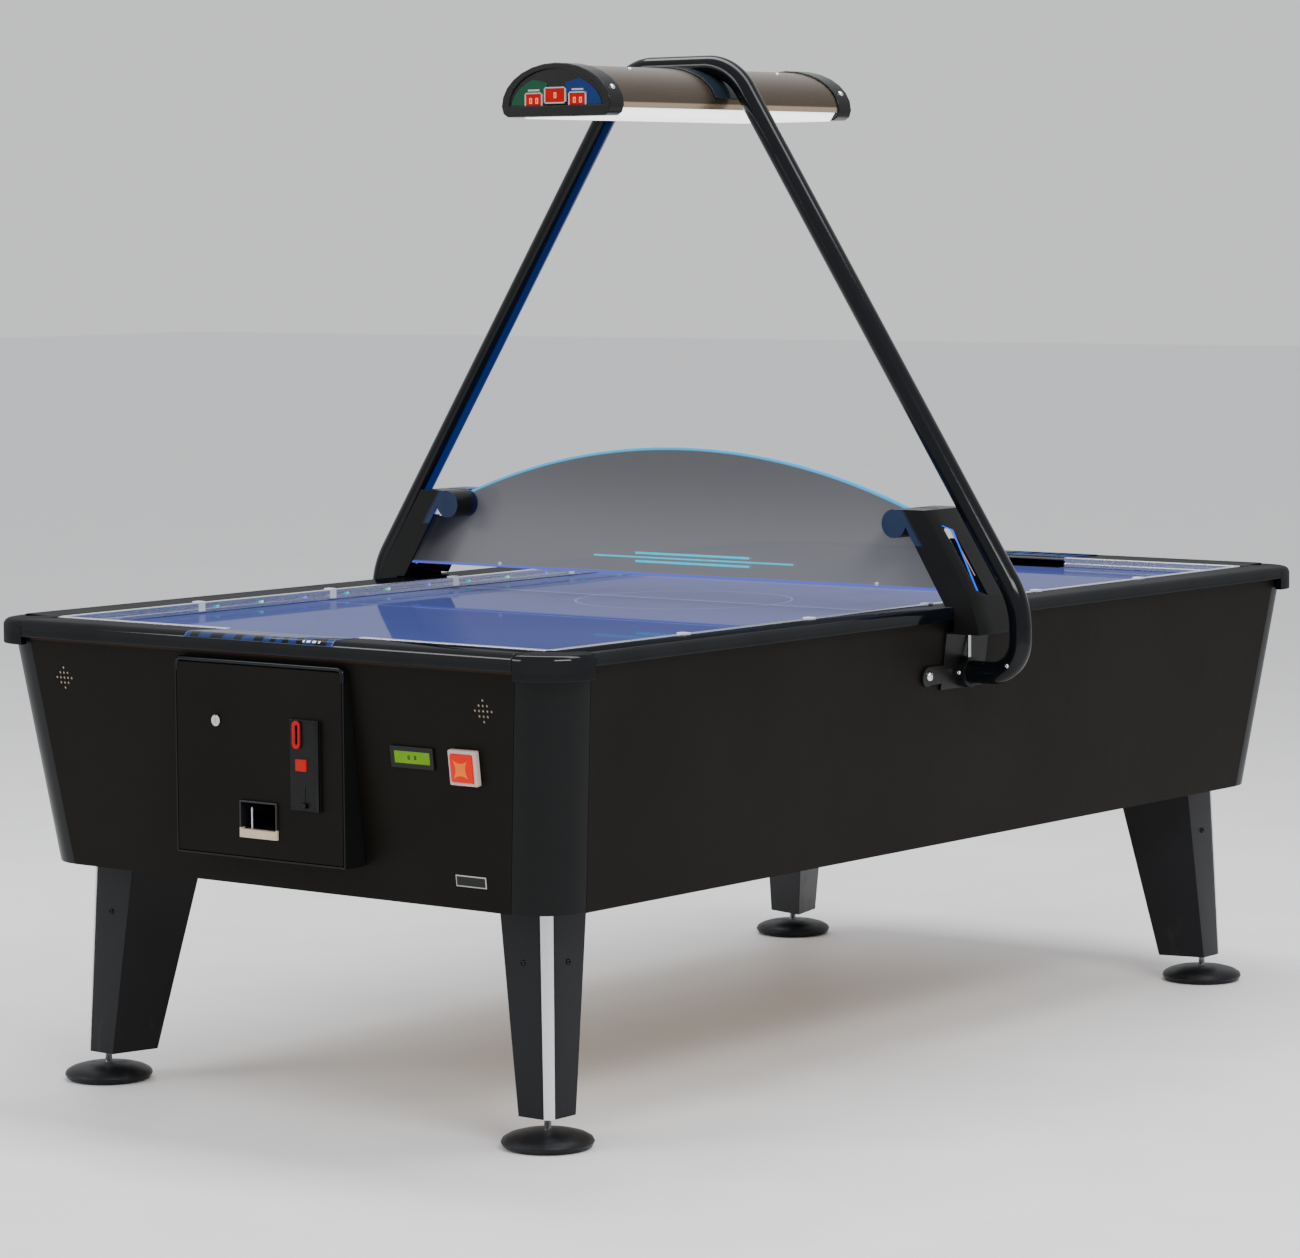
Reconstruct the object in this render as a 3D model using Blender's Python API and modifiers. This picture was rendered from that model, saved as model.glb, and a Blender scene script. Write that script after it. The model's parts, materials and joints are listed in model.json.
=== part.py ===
"""Coin-operated air hockey table: a tapering cabinet on four legs, an arch over the middle with a lamp
and scoreboard, and a clear barrier across the playfield. Metres, +Z up. The origin is on the floor under
the table's centre. The coin door faces -X, and the arch stands across the table, in the plane x = 0."""

import math

import bmesh
import bpy
from mathutils import Matrix, Vector

# Overall sizes
RAIL_LENGTH = 2.298
RAIL_WIDTH = 1.294
FIELD_TOP = 0.795
CABINET_DEPTH = 0.407
END_LEAN = 0.120  # how far an end moves in for each metre down
SIDE_LEAN = 0.132

# Clearances
GAP = 0.0003  # between pieces that touch
FIT = 0.001  # between pieces that pass or slide

# Cabinet
PANEL = 0.018
FLOOR_THICK = 0.012
POST_RADIUS = 0.0856
POST_WALL = 0.006

# Rails, caps and playfield
RAIL_OVERHANG = 0.0145
RAIL_BREADTH = 0.088
RAIL_RISE = 0.020
END_SKIRT = 0.010
SIDE_SKIRT = 0.002
RAIL_ROUND = 0.013
CAP_SIZE = 0.095
CAP_ROUND = 0.088
CAP_RISE = 0.0185
CAP_DROP = 0.024
CAP_EDGE = 0.012
FIELD_THICK = 0.012
BUMPER_RISE = 0.0185
BUMPER_THICK = 0.014
BUMPER_GROOVE = 0.004
GOAL_WIDTH = 0.300
GOAL_RISE = 0.011
PLENUM_INSET = 0.105
PLENUM_DEPTH = 0.070
PLENUM_WALL = 0.012
INLET_RADIUS = 0.050

# Puck returns
PUCK = 0.074
CHUTE_WALL = 0.003
CHUTE_DEPTH = 0.030
TRAY_DEPTH = 0.080
RETURN_TOP = 0.540
RETURN_HEIGHT = 0.062
RETURN_LIP = 0.014

# Blower
BLOWER_RADIUS = 0.140
BLOWER_HEIGHT = 0.110
BLOWER_WALL = 0.003
BLOWER_X = 0.30
INTAKE_RADIUS = 0.060
DUCT_OFFSET = 0.080
MOTOR_RADIUS = 0.032
IMPELLER_RADIUS = 0.100
IMPELLER_HEIGHT = 0.050
IMPELLER_PLATE = 0.004
BLADES = 10
BLADE_THICK = 0.003
BLADE_LENGTH = 0.050
HUB_RADIUS = 0.020

# Legs and feet
LEG_TOP_INSET = 0.0625  # outer edge, from the cabinet's lower corner
LEG_FOOT_INSET = 0.051
LEG_BOTTOM = 0.050
LEG_TOP_SIZE = (0.100, 0.137, 0.022)  # face width, depth at the inner edge, corner radius
LEG_FOOT_SIZE = (0.066, 0.0885, 0.018)
TRIM_HALF_ANGLE = 27.0
TRIM_THICK = 0.0015
FOOT_INSET = 0.079
FOOT_RADIUS = 0.077
FOOT_HEIGHT = 0.029
STEM_RADIUS = 0.006
STEM_TOP = 0.095
STEM_TRAVEL = 0.030

# Arch and brackets
TUBE_RADIUS = 0.020
ARCH_TOP = 0.976  # centreline, above the playfield
ARCH_TOP_HALF = 0.119
ARCH_CLEAR = 0.098  # centreline, out from the rail
ARCH_KNEE = 0.027
ARCH_LOW = 0.098  # centreline of the lower run, below the playfield
ARCH_TOP_BEND = 0.100
ARCH_KNEE_BEND = 0.150
ARCH_LOW_BEND = 0.060
BRACKET_PLATE = 0.004
SOCKET_RADIUS = 0.028
SOCKET_DEPTH = 0.018
HOOD_HALF = 0.065
HOOD_TOP = 0.188
HOOD_BOTTOM = 0.026
HOOD_DEPTH = 0.059
HOOD_CLEAR = 0.025  # between the hood and the arch
HOOD_WALL = 0.003
ROLL_RADIUS = 0.0255
ROLL_PROUD = 0.007
WEB_SLOT = (0.009, 0.036, 0.050, 0.162)  # two edges from the middle, then bottom and top over the field
WEB_SLOT_TILT = 0.010
LUG_REACH = 0.108  # a bolt's distance from the arch, along the table
LUG_RADIUS = 0.018
LUG_PROUD = 0.0015
RIB_DEPTH = 0.014

# Barrier sheet
SHEET_THICK = 0.008
SHEET_GAP = 0.042  # over the playfield
SHEET_RISE = 0.281
SHEET_SAGITTA = 0.097
SHEET_HALF = 0.517

# Lamp
LAMP_LENGTH = 0.720
LAMP_HALF = 0.121
LAMP_CROWN = 0.072
LAMP_SINK = 0.004  # top of the lamp, below the tube's centreline
LAMP_SHELL = 0.0025
LAMP_LIP = 0.005
LAMP_CAP = 0.040
LAMP_CAP_GROW = 0.0035
LAMP_CAP_DROP = 0.019
LAMP_CAP_BEVEL = 0.005
FACE_SHRINK = 0.86
FACE_RECESS = 0.004
DIFFUSER_DROP = 0.021

# Coin box and door
DOOR_FRONT = 0.006  # door face, in from the end rail's face
BOX_HALF = 0.190
BOX_TOP = 0.768
BOX_BOTTOM = 0.442
BOX_WALL = 0.003
HATCH_MARGIN = 0.017
DOOR_THICK = 0.003
DOOR_GAP = 0.0015
HINGE_INSET = 0.0015
LOCK_Y = 0.094
LOCK_Z = 0.669
LOCK_RADIUS = 0.0095
LOCK_HEAD = 0.0035
LOCK_BODY = 0.022
CAM_LENGTH = 0.034
CAM_THICK = 0.003
CATCH_REACH = 0.072
COIN_Y = -0.1065
COIN_Z = 0.607
COIN_PLATE = (0.066, 0.150)
COIN_PLATE_THICK = 0.003
COIN_BODY = (0.052, 0.136, 0.055)
COIN_SURROUND = (0.016, 0.044, 0.0025)
COIN_SLIT = (0.005, 0.030)
COIN_SLOT_OFFSET = (0.016, 0.050)  # towards +Y and up, from the plate's middle
REJECT_SIZE = (0.024, 0.020)
REJECT_OFFSET = (0.008, 0.000)
REJECT_PROUD = 0.0025
REJECT_TRAVEL = 0.003
CASH_BOX = (0.130, 0.120, 0.095)
CASH_WALL = 0.002

# Player controls on the sloping end
START_Y = -0.428
START_Z = 0.624
BEZEL_SIZE = 0.058
BEZEL_PROUD = 0.012
BUTTON_SIZE = 0.045
BUTTON_PROUD = 0.004
BUTTON_TRAVEL = 0.004
BUTTON_DEPTH = 0.012
DISPLAY_Y = -0.315
DISPLAY_Z = 0.632
DISPLAY_SIZE = (0.092, 0.036)
DISPLAY_PROUD = 0.004
DISPLAY_BACK = 0.012
SPEAKER_Y = 0.472
SPEAKER_Z = 0.717
SPEAKER_HOLE = 0.0032
SPEAKER_PITCH = 0.0087

CONTROL_BOX = (0.220, 0.160, 0.090)
CONTROL_X = -0.35

# Worked out from the sizes above
HALF_LENGTH = RAIL_LENGTH / 2
HALF_WIDTH = RAIL_WIDTH / 2
CAB_HALF_LENGTH = HALF_LENGTH - RAIL_OVERHANG
CAB_HALF_WIDTH = HALF_WIDTH - RAIL_OVERHANG
CAB_BOTTOM = FIELD_TOP - CABINET_DEPTH
FLOOR_TOP = CAB_BOTTOM + FLOOR_THICK
RAIL_TOP = FIELD_TOP + RAIL_RISE
RAIL_INNER_X = HALF_LENGTH - RAIL_BREADTH
RAIL_INNER_Y = HALF_WIDTH - RAIL_BREADTH
ARCH_OUT = HALF_WIDTH + ARCH_CLEAR
ARCH_TOP_Z = FIELD_TOP + ARCH_TOP
ARCH_KNEE_Z = FIELD_TOP + ARCH_KNEE
ARCH_LOW_Z = FIELD_TOP - ARCH_LOW
WEB_INSET = TUBE_RADIUS + HOOD_CLEAR
ARCH_SLOPE = (ARCH_OUT - ARCH_TOP_HALF) / (ARCH_TOP_Z - ARCH_KNEE_Z)
DOOR_X = -(HALF_LENGTH - DOOR_FRONT)
ENDS = {"front": -1, "rear": 1}
SIDES = {"near": -1, "far": 1}

PAINTS = {
    "laminate": ((0.030, 0.026, 0.021), 0.55, 0.0),
    "post": ((0.020, 0.021, 0.020), 0.45, 0.0),
    "gloss_black": ((0.010, 0.012, 0.014), 0.12, 0.0),
    "sheet_black": ((0.014, 0.014, 0.013), 0.35, 0.0),
    "tube_black": ((0.008, 0.010, 0.013), 0.15, 0.0),
    "field": ((0.180, 0.210, 0.420), 0.08, 0.0),
    "aluminium": ((0.720, 0.740, 0.780), 0.28, 1.0),
    "zinc": ((0.550, 0.560, 0.570), 0.40, 1.0),
    "leg": ((0.040, 0.042, 0.048), 0.40, 0.0),
    "foot": ((0.030, 0.034, 0.042), 0.45, 0.0),
    "acrylic": ((0.260, 0.270, 0.280), 0.10, 0.0),
    "bronze": ((0.110, 0.085, 0.065), 0.20, 0.8),
    "diffuser": ((0.900, 0.910, 0.920), 0.50, 0.0),
    "lamp_cap": ((0.015, 0.015, 0.017), 0.30, 0.0),
    "red": ((0.640, 0.060, 0.050), 0.30, 0.0),
    "chrome": ((0.800, 0.800, 0.800), 0.10, 1.0),
    "screen": ((0.180, 0.420, 0.060), 0.30, 0.0),
    "brass": ((0.700, 0.550, 0.400), 0.35, 0.6),
    "white": ((0.800, 0.780, 0.760), 0.35, 0.0),
    "plywood": ((0.420, 0.300, 0.180), 0.70, 0.0),
}


# ---------------------------------------------------------------- scene and materials


def clear_scene():
    for obj in list(bpy.data.objects):
        bpy.data.objects.remove(obj, do_unlink=True)
    for name in ("air_hockey_table", "cutters"):
        collection = bpy.data.collections.new(name)
        bpy.context.scene.collection.children.link(collection)
        COLLECTIONS[name] = collection
    COLLECTIONS["cutters"].hide_render = True


def paint(obj, kind):
    """Give the piece a material of its own."""
    colour, roughness, metallic = PAINTS[kind]
    material = bpy.data.materials.new(obj.name)
    material.use_nodes = True
    shader = material.node_tree.nodes["Principled BSDF"]
    shader.inputs["Base Color"].default_value = (*colour, 1.0)
    shader.inputs["Roughness"].default_value = roughness
    shader.inputs["Metallic"].default_value = metallic
    obj.data.materials.append(material)


def link(name, mesh, kind=None):
    """A part with its own paint, or a hidden helper where no paint is given."""
    obj = bpy.data.objects.new(name, mesh)
    if kind is None:
        COLLECTIONS["cutters"].objects.link(obj)
        obj.hide_render = True
        obj.display_type = "WIRE"
    else:
        COLLECTIONS["air_hockey_table"].objects.link(obj)
        paint(obj, kind)
    return obj


# ---------------------------------------------------------------- shapes


def box(name, low, high, kind=None, bevel=0.0, segments=2):
    """A block between two corners, its edges rounded where a bevel is given."""
    bm = bmesh.new()
    bmesh.ops.create_cube(bm, size=1.0)
    size = Vector(high) - Vector(low)
    middle = (Vector(high) + Vector(low)) / 2
    bmesh.ops.transform(bm, matrix=Matrix.Translation(middle) @ Matrix.Diagonal((*size, 1.0)), verts=bm.verts)
    if bevel:
        bmesh.ops.bevel(bm, geom=bm.edges, offset=bevel, segments=segments, profile=0.5, affect="EDGES")
    mesh = bpy.data.meshes.new(name)
    bm.to_mesh(mesh)
    bm.free()
    return link(name, mesh, kind)


def rod(name, start, end, radius, kind=None, sides=24):
    """A solid cylinder from one point to another."""
    start, end = Vector(start), Vector(end)
    turn = (end - start).to_track_quat("Z", "Y").to_matrix().to_4x4()
    bm = bmesh.new()
    bmesh.ops.create_cone(
        bm,
        cap_ends=True,
        segments=sides,
        radius1=radius,
        radius2=radius,
        depth=(end - start).length,
        matrix=Matrix.Translation((start + end) / 2) @ turn,
    )
    mesh = bpy.data.meshes.new(name)
    bm.to_mesh(mesh)
    bm.free()
    mesh.shade_smooth()
    mesh.set_sharp_from_angle(angle=math.radians(40))
    return link(name, mesh, kind)


def curve_mesh(name, curve):
    """The closed mesh of a curve, its caps welded to its sides."""
    guide = bpy.data.objects.new(name + "_curve", curve)
    COLLECTIONS["cutters"].objects.link(guide)
    graph = bpy.context.evaluated_depsgraph_get()
    mesh = bpy.data.meshes.new_from_object(guide.evaluated_get(graph))
    bpy.data.objects.remove(guide, do_unlink=True)
    mesh.name = name
    bm = bmesh.new()
    bm.from_mesh(mesh)
    bmesh.ops.remove_doubles(bm, verts=bm.verts, dist=1e-6)
    bm.to_mesh(mesh)
    bm.free()
    mesh.materials.clear()
    return mesh


AXES = {
    "z": Matrix.Identity(4),
    "x": Matrix(((0, 0, 1, 0), (1, 0, 0, 0), (0, 1, 0, 0), (0, 0, 0, 1))),
    "y": Matrix(((0, 1, 0, 0), (0, 0, 1, 0), (1, 0, 0, 0), (0, 0, 0, 1))),
}


def prism(name, outline, axis, low, high, kind=None):
    """A flat outline pushed out along an axis. The outline holds (y, z) for x, (z, x) for y, (x, y) for z."""
    curve = bpy.data.curves.new(name, "CURVE")
    curve.dimensions = "2D"
    curve.fill_mode = "BOTH"
    curve.extrude = (high - low) / 2
    spline = curve.splines.new("POLY")
    spline.points.add(len(outline) - 1)
    for point, (u, v) in zip(spline.points, outline):
        point.co = (u, v, 0.0, 1.0)
    spline.use_cyclic_u = True
    mesh = curve_mesh(name, curve)
    along = Matrix.Translation((0.0, 0.0, (high + low) / 2))
    mesh.transform(AXES[axis] @ along)
    return link(name, mesh, kind)


def tube(name, points, radius, kind=None, resolution=3):
    """A round bar along a line of points."""
    curve = bpy.data.curves.new(name, "CURVE")
    curve.dimensions = "3D"
    curve.fill_mode = "FULL"
    curve.bevel_depth = radius
    curve.bevel_resolution = resolution
    curve.use_fill_caps = True
    spline = curve.splines.new("POLY")
    spline.points.add(len(points) - 1)
    for point, place in zip(spline.points, points):
        point.co = (*place, 1.0)
    mesh = curve_mesh(name, curve)
    mesh.shade_smooth()
    mesh.set_sharp_from_angle(angle=math.radians(50))
    return link(name, mesh, kind)


def turned(name, profile, kind, steps=28):
    """A shape turned about Z from a profile of (radius, height), top to bottom."""
    mesh = bpy.data.meshes.new(name)
    mesh.from_pydata([(r, 0.0, z) for r, z in profile], [(i, i + 1) for i in range(len(profile) - 1)], [])
    obj = link(name, mesh, kind)
    screw = obj.modifiers.new("turn", "SCREW")
    screw.axis = "Z"
    screw.steps = steps
    screw.render_steps = steps
    screw.use_merge_vertices = True
    screw.merge_threshold = 0.00005
    screw.use_smooth_shade = True
    return obj


def cut(obj, *cutters):
    for cutter in cutters:
        boolean = obj.modifiers.new("cut", "BOOLEAN")
        boolean.operation = "DIFFERENCE"
        boolean.object = cutter


def fuse(obj, *others):
    for other in others:
        boolean = obj.modifiers.new("fuse", "BOOLEAN")
        boolean.operation = "UNION"
        boolean.object = other


def set_origin(obj, point):
    """Put the piece's origin at a point, leaving its shape where it is."""
    obj.data.transform(Matrix.Translation(-Vector(point)))
    obj.location = point


def pivot(name, point, *children):
    """An empty on a joint's axis that carries the pieces that move about it."""
    empty = bpy.data.objects.new(name, None)
    empty.location = point
    COLLECTIONS["air_hockey_table"].objects.link(empty)
    for child in children:
        child.parent = empty
        child.matrix_parent_inverse = Matrix.Translation(-Vector(point))
    return empty


def arc(cx, cy, radius, start, stop, steps):
    """Points along a circular arc, angles in degrees."""
    angles = [math.radians(start + (stop - start) * i / steps) for i in range(steps + 1)]
    return [(cx + radius * math.cos(a), cy + radius * math.sin(a)) for a in angles]


def mirrored(points, sign_u=1, sign_v=1):
    return [(u * sign_u, v * sign_v) for u, v in points]


def lean(obj):
    """Move each vertex in with the cabinet's sloping walls."""
    for vertex in obj.data.vertices:
        down = FIELD_TOP - vertex.co.z
        vertex.co.x -= math.copysign(END_LEAN * down, vertex.co.x) if abs(vertex.co.x) > 1e-6 else 0.0
        vertex.co.y -= math.copysign(SIDE_LEAN * down, vertex.co.y) if abs(vertex.co.y) > 1e-6 else 0.0
    return obj


def end_face(z):
    """Half length of the cabinet's outside at a height."""
    return CAB_HALF_LENGTH - END_LEAN * (FIELD_TOP - z)


def side_face(z):
    """Half width of the cabinet's outside at a height."""
    return CAB_HALF_WIDTH - SIDE_LEAN * (FIELD_TOP - z)


def rounded_rectangle(half_x, half_y, radius, steps=6):
    points = arc(half_x - radius, half_y - radius, radius, 0, 90, steps)
    points += arc(radius - half_x, half_y - radius, radius, 90, 180, steps)
    points += arc(radius - half_x, radius - half_y, radius, 180, 270, steps)
    points += arc(half_x - radius, radius - half_y, radius, 270, 360, steps)
    return points


# ---------------------------------------------------------------- cabinet


def cabinet_panels():
    top = FIELD_TOP - GAP
    reach_y = CAB_HALF_WIDTH - POST_RADIUS - GAP
    reach_x = CAB_HALF_LENGTH - POST_RADIUS - GAP
    panels = {}
    for end, sign in ENDS.items():
        faces = sorted((sign * CAB_HALF_LENGTH, sign * (CAB_HALF_LENGTH - PANEL)))
        low = (faces[0], -reach_y, CAB_BOTTOM)
        high = (faces[1], reach_y, top)
        panels[end] = lean(box(f"cabinet_end_{end}", low, high, "laminate"))
    for side, sign in SIDES.items():
        faces = sorted((sign * CAB_HALF_WIDTH, sign * (CAB_HALF_WIDTH - PANEL)))
        low = (-reach_x, faces[0], CAB_BOTTOM)
        high = (reach_x, faces[1], top)
        panels[side] = lean(box(f"cabinet_side_{side}", low, high, "laminate"))
    return panels


def corner_post(end, side):
    """A quarter-round cover between two panels."""
    centre = (CAB_HALF_LENGTH - POST_RADIUS, CAB_HALF_WIDTH - POST_RADIUS)
    outline = arc(*centre, POST_RADIUS, 0, 90, 8)
    outline += arc(*centre, POST_RADIUS - POST_WALL, 90, 0, 8)
    outline = mirrored(outline, ENDS[end], SIDES[side])
    post = prism(f"corner_post_{end}_{side}", outline, "z", CAB_BOTTOM, FIELD_TOP - GAP, "post")
    return lean(post)


def cabinet_floor():
    half_x = end_face(CAB_BOTTOM) - PANEL - FIT
    half_y = side_face(CAB_BOTTOM) - PANEL - FIT
    outline = rounded_rectangle(half_x, half_y, POST_RADIUS - PANEL - FIT)
    floor = prism("cabinet_floor", outline, "z", CAB_BOTTOM, FLOOR_TOP, "plywood")
    low = (BLOWER_X, 0.0, CAB_BOTTOM - FIT)
    high = (BLOWER_X, 0.0, FLOOR_TOP + FIT)
    cut(floor, rod("intake_cutter", low, high, INTAKE_RADIUS))


def speaker_holes(panel):
    """Two diamonds of round holes, thirteen in each, joined into one cutter."""
    rows = (1, 3, 5, 3, 1)
    bm = bmesh.new()
    for sign in (-1, 1):
        for row, count in enumerate(rows):
            z = SPEAKER_Z + SPEAKER_PITCH * (2 - row)
            for place in range(count):
                y = sign * SPEAKER_Y + SPEAKER_PITCH * (place - (count - 1) / 2)
                x = -end_face(z) + PANEL / 2
                spot = Matrix.Translation((x, y, z)) @ Matrix.Rotation(math.pi / 2, 4, "Y")
                bmesh.ops.create_cone(
                    bm,
                    cap_ends=True,
                    segments=6,
                    radius1=SPEAKER_HOLE,
                    radius2=SPEAKER_HOLE,
                    depth=2 * PANEL,
                    matrix=spot,
                )
    mesh = bpy.data.meshes.new("speaker_cutter")
    bm.to_mesh(mesh)
    bm.free()
    cut(panel, link("speaker_cutter", mesh))


# ---------------------------------------------------------------- rails and playfield


def rail_outline(outer, inner, wall, skirt):
    """A rail's section as (across, up): a skirt outside the cabinet, a round shoulder, a low inner edge."""
    top = RAIL_TOP
    shoulder = arc(outer - RAIL_ROUND, top - RAIL_ROUND, RAIL_ROUND, 0, 90, 5)
    return [
        (wall + FIT, FIELD_TOP - skirt),
        (outer, FIELD_TOP - skirt),
        *shoulder,
        (inner + 0.004, top - 0.0025),
        (inner, top - 0.006),
        (inner, FIELD_TOP + GAP),
        (wall + FIT, FIELD_TOP + GAP),
    ]


def side_rail(side):
    outline = rail_outline(HALF_WIDTH, RAIL_INNER_Y, CAB_HALF_WIDTH, SIDE_SKIRT)
    outline = mirrored(outline, SIDES[side])
    reach = HALF_LENGTH - CAP_SIZE - GAP
    return prism(f"side_rail_{side}", outline, "x", -reach, reach, "gloss_black")


def end_rail(end):
    """An end rail, hollowed underneath where pucks pass into the goal."""
    outline = rail_outline(HALF_LENGTH, RAIL_INNER_X, CAB_HALF_LENGTH, END_SKIRT)
    outline = [(up, ENDS[end] * across) for across, up in outline]
    reach = HALF_WIDTH - CAP_SIZE - GAP
    rail = prism(f"end_rail_{end}", outline, "y", -reach, reach, "gloss_black")
    near = ENDS[end] * (RAIL_INNER_X - PANEL)
    far = ENDS[end] * (CAB_HALF_LENGTH - PANEL)
    low = (min(near, far), -GOAL_WIDTH / 2, FIELD_TOP - FIT)
    high = (max(near, far), GOAL_WIDTH / 2, FIELD_TOP + GOAL_RISE)
    cut(rail, box(f"goal_cutter_{end}", low, high))


def corner_cap(end, side):
    """A moulded cap over a corner: its skirt drops outside the corner post."""
    square = CAP_SIZE - CAP_ROUND
    centre = (HALF_LENGTH - CAP_ROUND, HALF_WIDTH - CAP_ROUND)
    outline = arc(*centre, CAP_ROUND, 0, 90, 10)
    outline += [(centre[0] - square, HALF_WIDTH), (centre[0] - square, centre[1] - square)]
    outline += [(HALF_LENGTH, centre[1] - square)]
    signs = (ENDS[end], SIDES[side])
    low, high = FIELD_TOP - CAP_DROP, FIELD_TOP + CAP_RISE
    cap = prism(f"corner_cap_{end}_{side}", mirrored(outline, *signs), "z", low, high, "gloss_black")
    bm = bmesh.new()
    bm.from_mesh(cap.data)
    bmesh.ops.dissolve_limit(bm, angle_limit=math.radians(1), verts=bm.verts, edges=bm.edges)
    outside = HALF_LENGTH + HALF_WIDTH - 1.5 * CAP_SIZE
    rim = [
        edge
        for edge in bm.edges
        if all(v.co.z > high - GAP and abs(v.co.x) + abs(v.co.y) > outside for v in edge.verts)
    ]
    bmesh.ops.bevel(bm, geom=rim, offset=CAP_EDGE, segments=4, profile=0.5, affect="EDGES")
    bm.to_mesh(cap.data)
    bm.free()
    seat_radius = POST_RADIUS + FIT
    seat = arc(CAB_HALF_LENGTH - POST_RADIUS, CAB_HALF_WIDTH - POST_RADIUS, seat_radius, 0, 90, 10)
    inner = (HALF_LENGTH - 2 * CAP_SIZE, HALF_WIDTH - 2 * CAP_SIZE)
    seat += [(inner[0], seat[-1][1]), inner, (seat[0][0], inner[1])]
    seat = mirrored(seat, *signs)
    cut(cap, prism(f"cap_cutter_{end}_{side}", seat, "z", low - FIT, FIELD_TOP + GAP))


def playfield():
    """The flat sheet that pucks slide on, with a notch at each goal."""
    under = FIELD_TOP - FIELD_THICK
    half_x = end_face(under) - PANEL - FIT
    half_y = side_face(under) - PANEL - FIT
    outline = rounded_rectangle(half_x, half_y, POST_RADIUS - PANEL - FIT)
    field = prism("playfield", outline, "z", under, FIELD_TOP, "field")
    for end, sign in ENDS.items():
        lip = sign * (end_face(FIELD_TOP - FIELD_THICK - TRAY_DEPTH) - PANEL - tray_length() + CHUTE_WALL)
        beyond = sign * HALF_LENGTH
        low = (min(lip, beyond), -GOAL_WIDTH / 2, under - FIT)
        high = (max(lip, beyond), GOAL_WIDTH / 2, FIELD_TOP + FIT)
        cut(field, box(f"field_cutter_{end}", low, high))


def bumper_outline(inner):
    """A bumper bar's section as (across, up): a flat bar with a groove along its playing face."""
    face = inner - BUMPER_THICK
    low, high = FIELD_TOP + GAP, FIELD_TOP + BUMPER_RISE
    middle = (low + high) / 2
    half = BUMPER_GROOVE / 2
    return [
        (inner - GAP, low),
        (inner - GAP, high),
        (face, high),
        (face, middle + half),
        (face + BUMPER_GROOVE, middle + half),
        (face + BUMPER_GROOVE, middle - half),
        (face, middle - half),
        (face, low),
    ]


def bumpers():
    reach = RAIL_INNER_X - BUMPER_THICK - GAP
    for side, sign in SIDES.items():
        outline = mirrored(bumper_outline(RAIL_INNER_Y), sign)
        prism(f"side_bumper_{side}", outline, "x", -reach, reach, "aluminium")
    for end, end_sign in ENDS.items():
        outline = [(up, end_sign * across) for across, up in bumper_outline(RAIL_INNER_X)]
        for side, sign in SIDES.items():
            edges = sorted((sign * GOAL_WIDTH / 2, sign * (HALF_WIDTH - CAP_SIZE - GAP)))
            prism(f"end_bumper_{end}_{side}", outline, "y", *edges, "aluminium")


def air_plenum():
    """The shallow box under the playfield that the blower fills."""
    top = FIELD_TOP - FIELD_THICK - GAP
    half_x = HALF_LENGTH - PLENUM_INSET - PUCK / 2
    half_y = HALF_WIDTH - PLENUM_INSET
    bottom = top - PLENUM_DEPTH
    plenum = box("air_plenum", (-half_x, -half_y, bottom), (half_x, half_y, top), "plywood")
    inner_low = (PLENUM_WALL - half_x, PLENUM_WALL - half_y, bottom + PLENUM_WALL)
    inner_high = (half_x - PLENUM_WALL, half_y - PLENUM_WALL, top + FIT)
    hollow = box("plenum_cutter", inner_low, inner_high)
    spot = BLOWER_X + DUCT_OFFSET
    inlet = rod("inlet_cutter", (spot, 0, bottom - FIT), (spot, 0, bottom + 2 * PLENUM_WALL), INLET_RADIUS)
    cut(plenum, hollow, inlet)


# ---------------------------------------------------------------- puck returns


def tray_length():
    return PUCK + 3 * FIT + 2 * CHUTE_WALL


def puck_tray(end):
    """A tray under a goal that tips pucks into an upright chute."""
    sign = ENDS[end]
    top = FIELD_TOP - FIELD_THICK - GAP
    bottom = top - TRAY_DEPTH
    outer = sign * (end_face(bottom) - PANEL - FIT)
    inner = sign * (end_face(bottom) - PANEL - tray_length())
    half = GOAL_WIDTH / 2 + CHUTE_WALL
    low_x, high_x = sorted((outer, inner))
    tray = box(f"puck_tray_{end}", (low_x, -half, bottom), (high_x, half, top), "zinc")
    wall = Vector((CHUTE_WALL, CHUTE_WALL, CHUTE_WALL))
    tray_hollow = box(
        f"tray_cutter_{end}",
        Vector((low_x, -half, bottom)) + wall,
        Vector((high_x, half, top + 2 * CHUTE_WALL)) - wall,
    )
    chute_half = PUCK / 2 + FIT + CHUTE_WALL
    foot = RETURN_TOP + (2 * FIT if end == "front" else -CHUTE_WALL / 2)
    front = sign * (end_face(foot) - PANEL - FIT)
    back = sign * (end_face(foot) - PANEL - FIT - CHUTE_DEPTH)
    chute_low, chute_high = sorted((front, back))
    chute = box(
        f"chute_body_{end}",
        (chute_low, -chute_half, foot),
        (chute_high, chute_half, bottom + CHUTE_WALL / 2),
    )
    chute_hollow = box(
        f"chute_cutter_{end}",
        (chute_low + CHUTE_WALL, CHUTE_WALL - chute_half, foot - FIT),
        (chute_high - CHUTE_WALL, chute_half - CHUTE_WALL, bottom + 2 * CHUTE_WALL),
    )
    fuse(tray, chute)
    cut(tray, tray_hollow, chute_hollow)
    return tray


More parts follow.
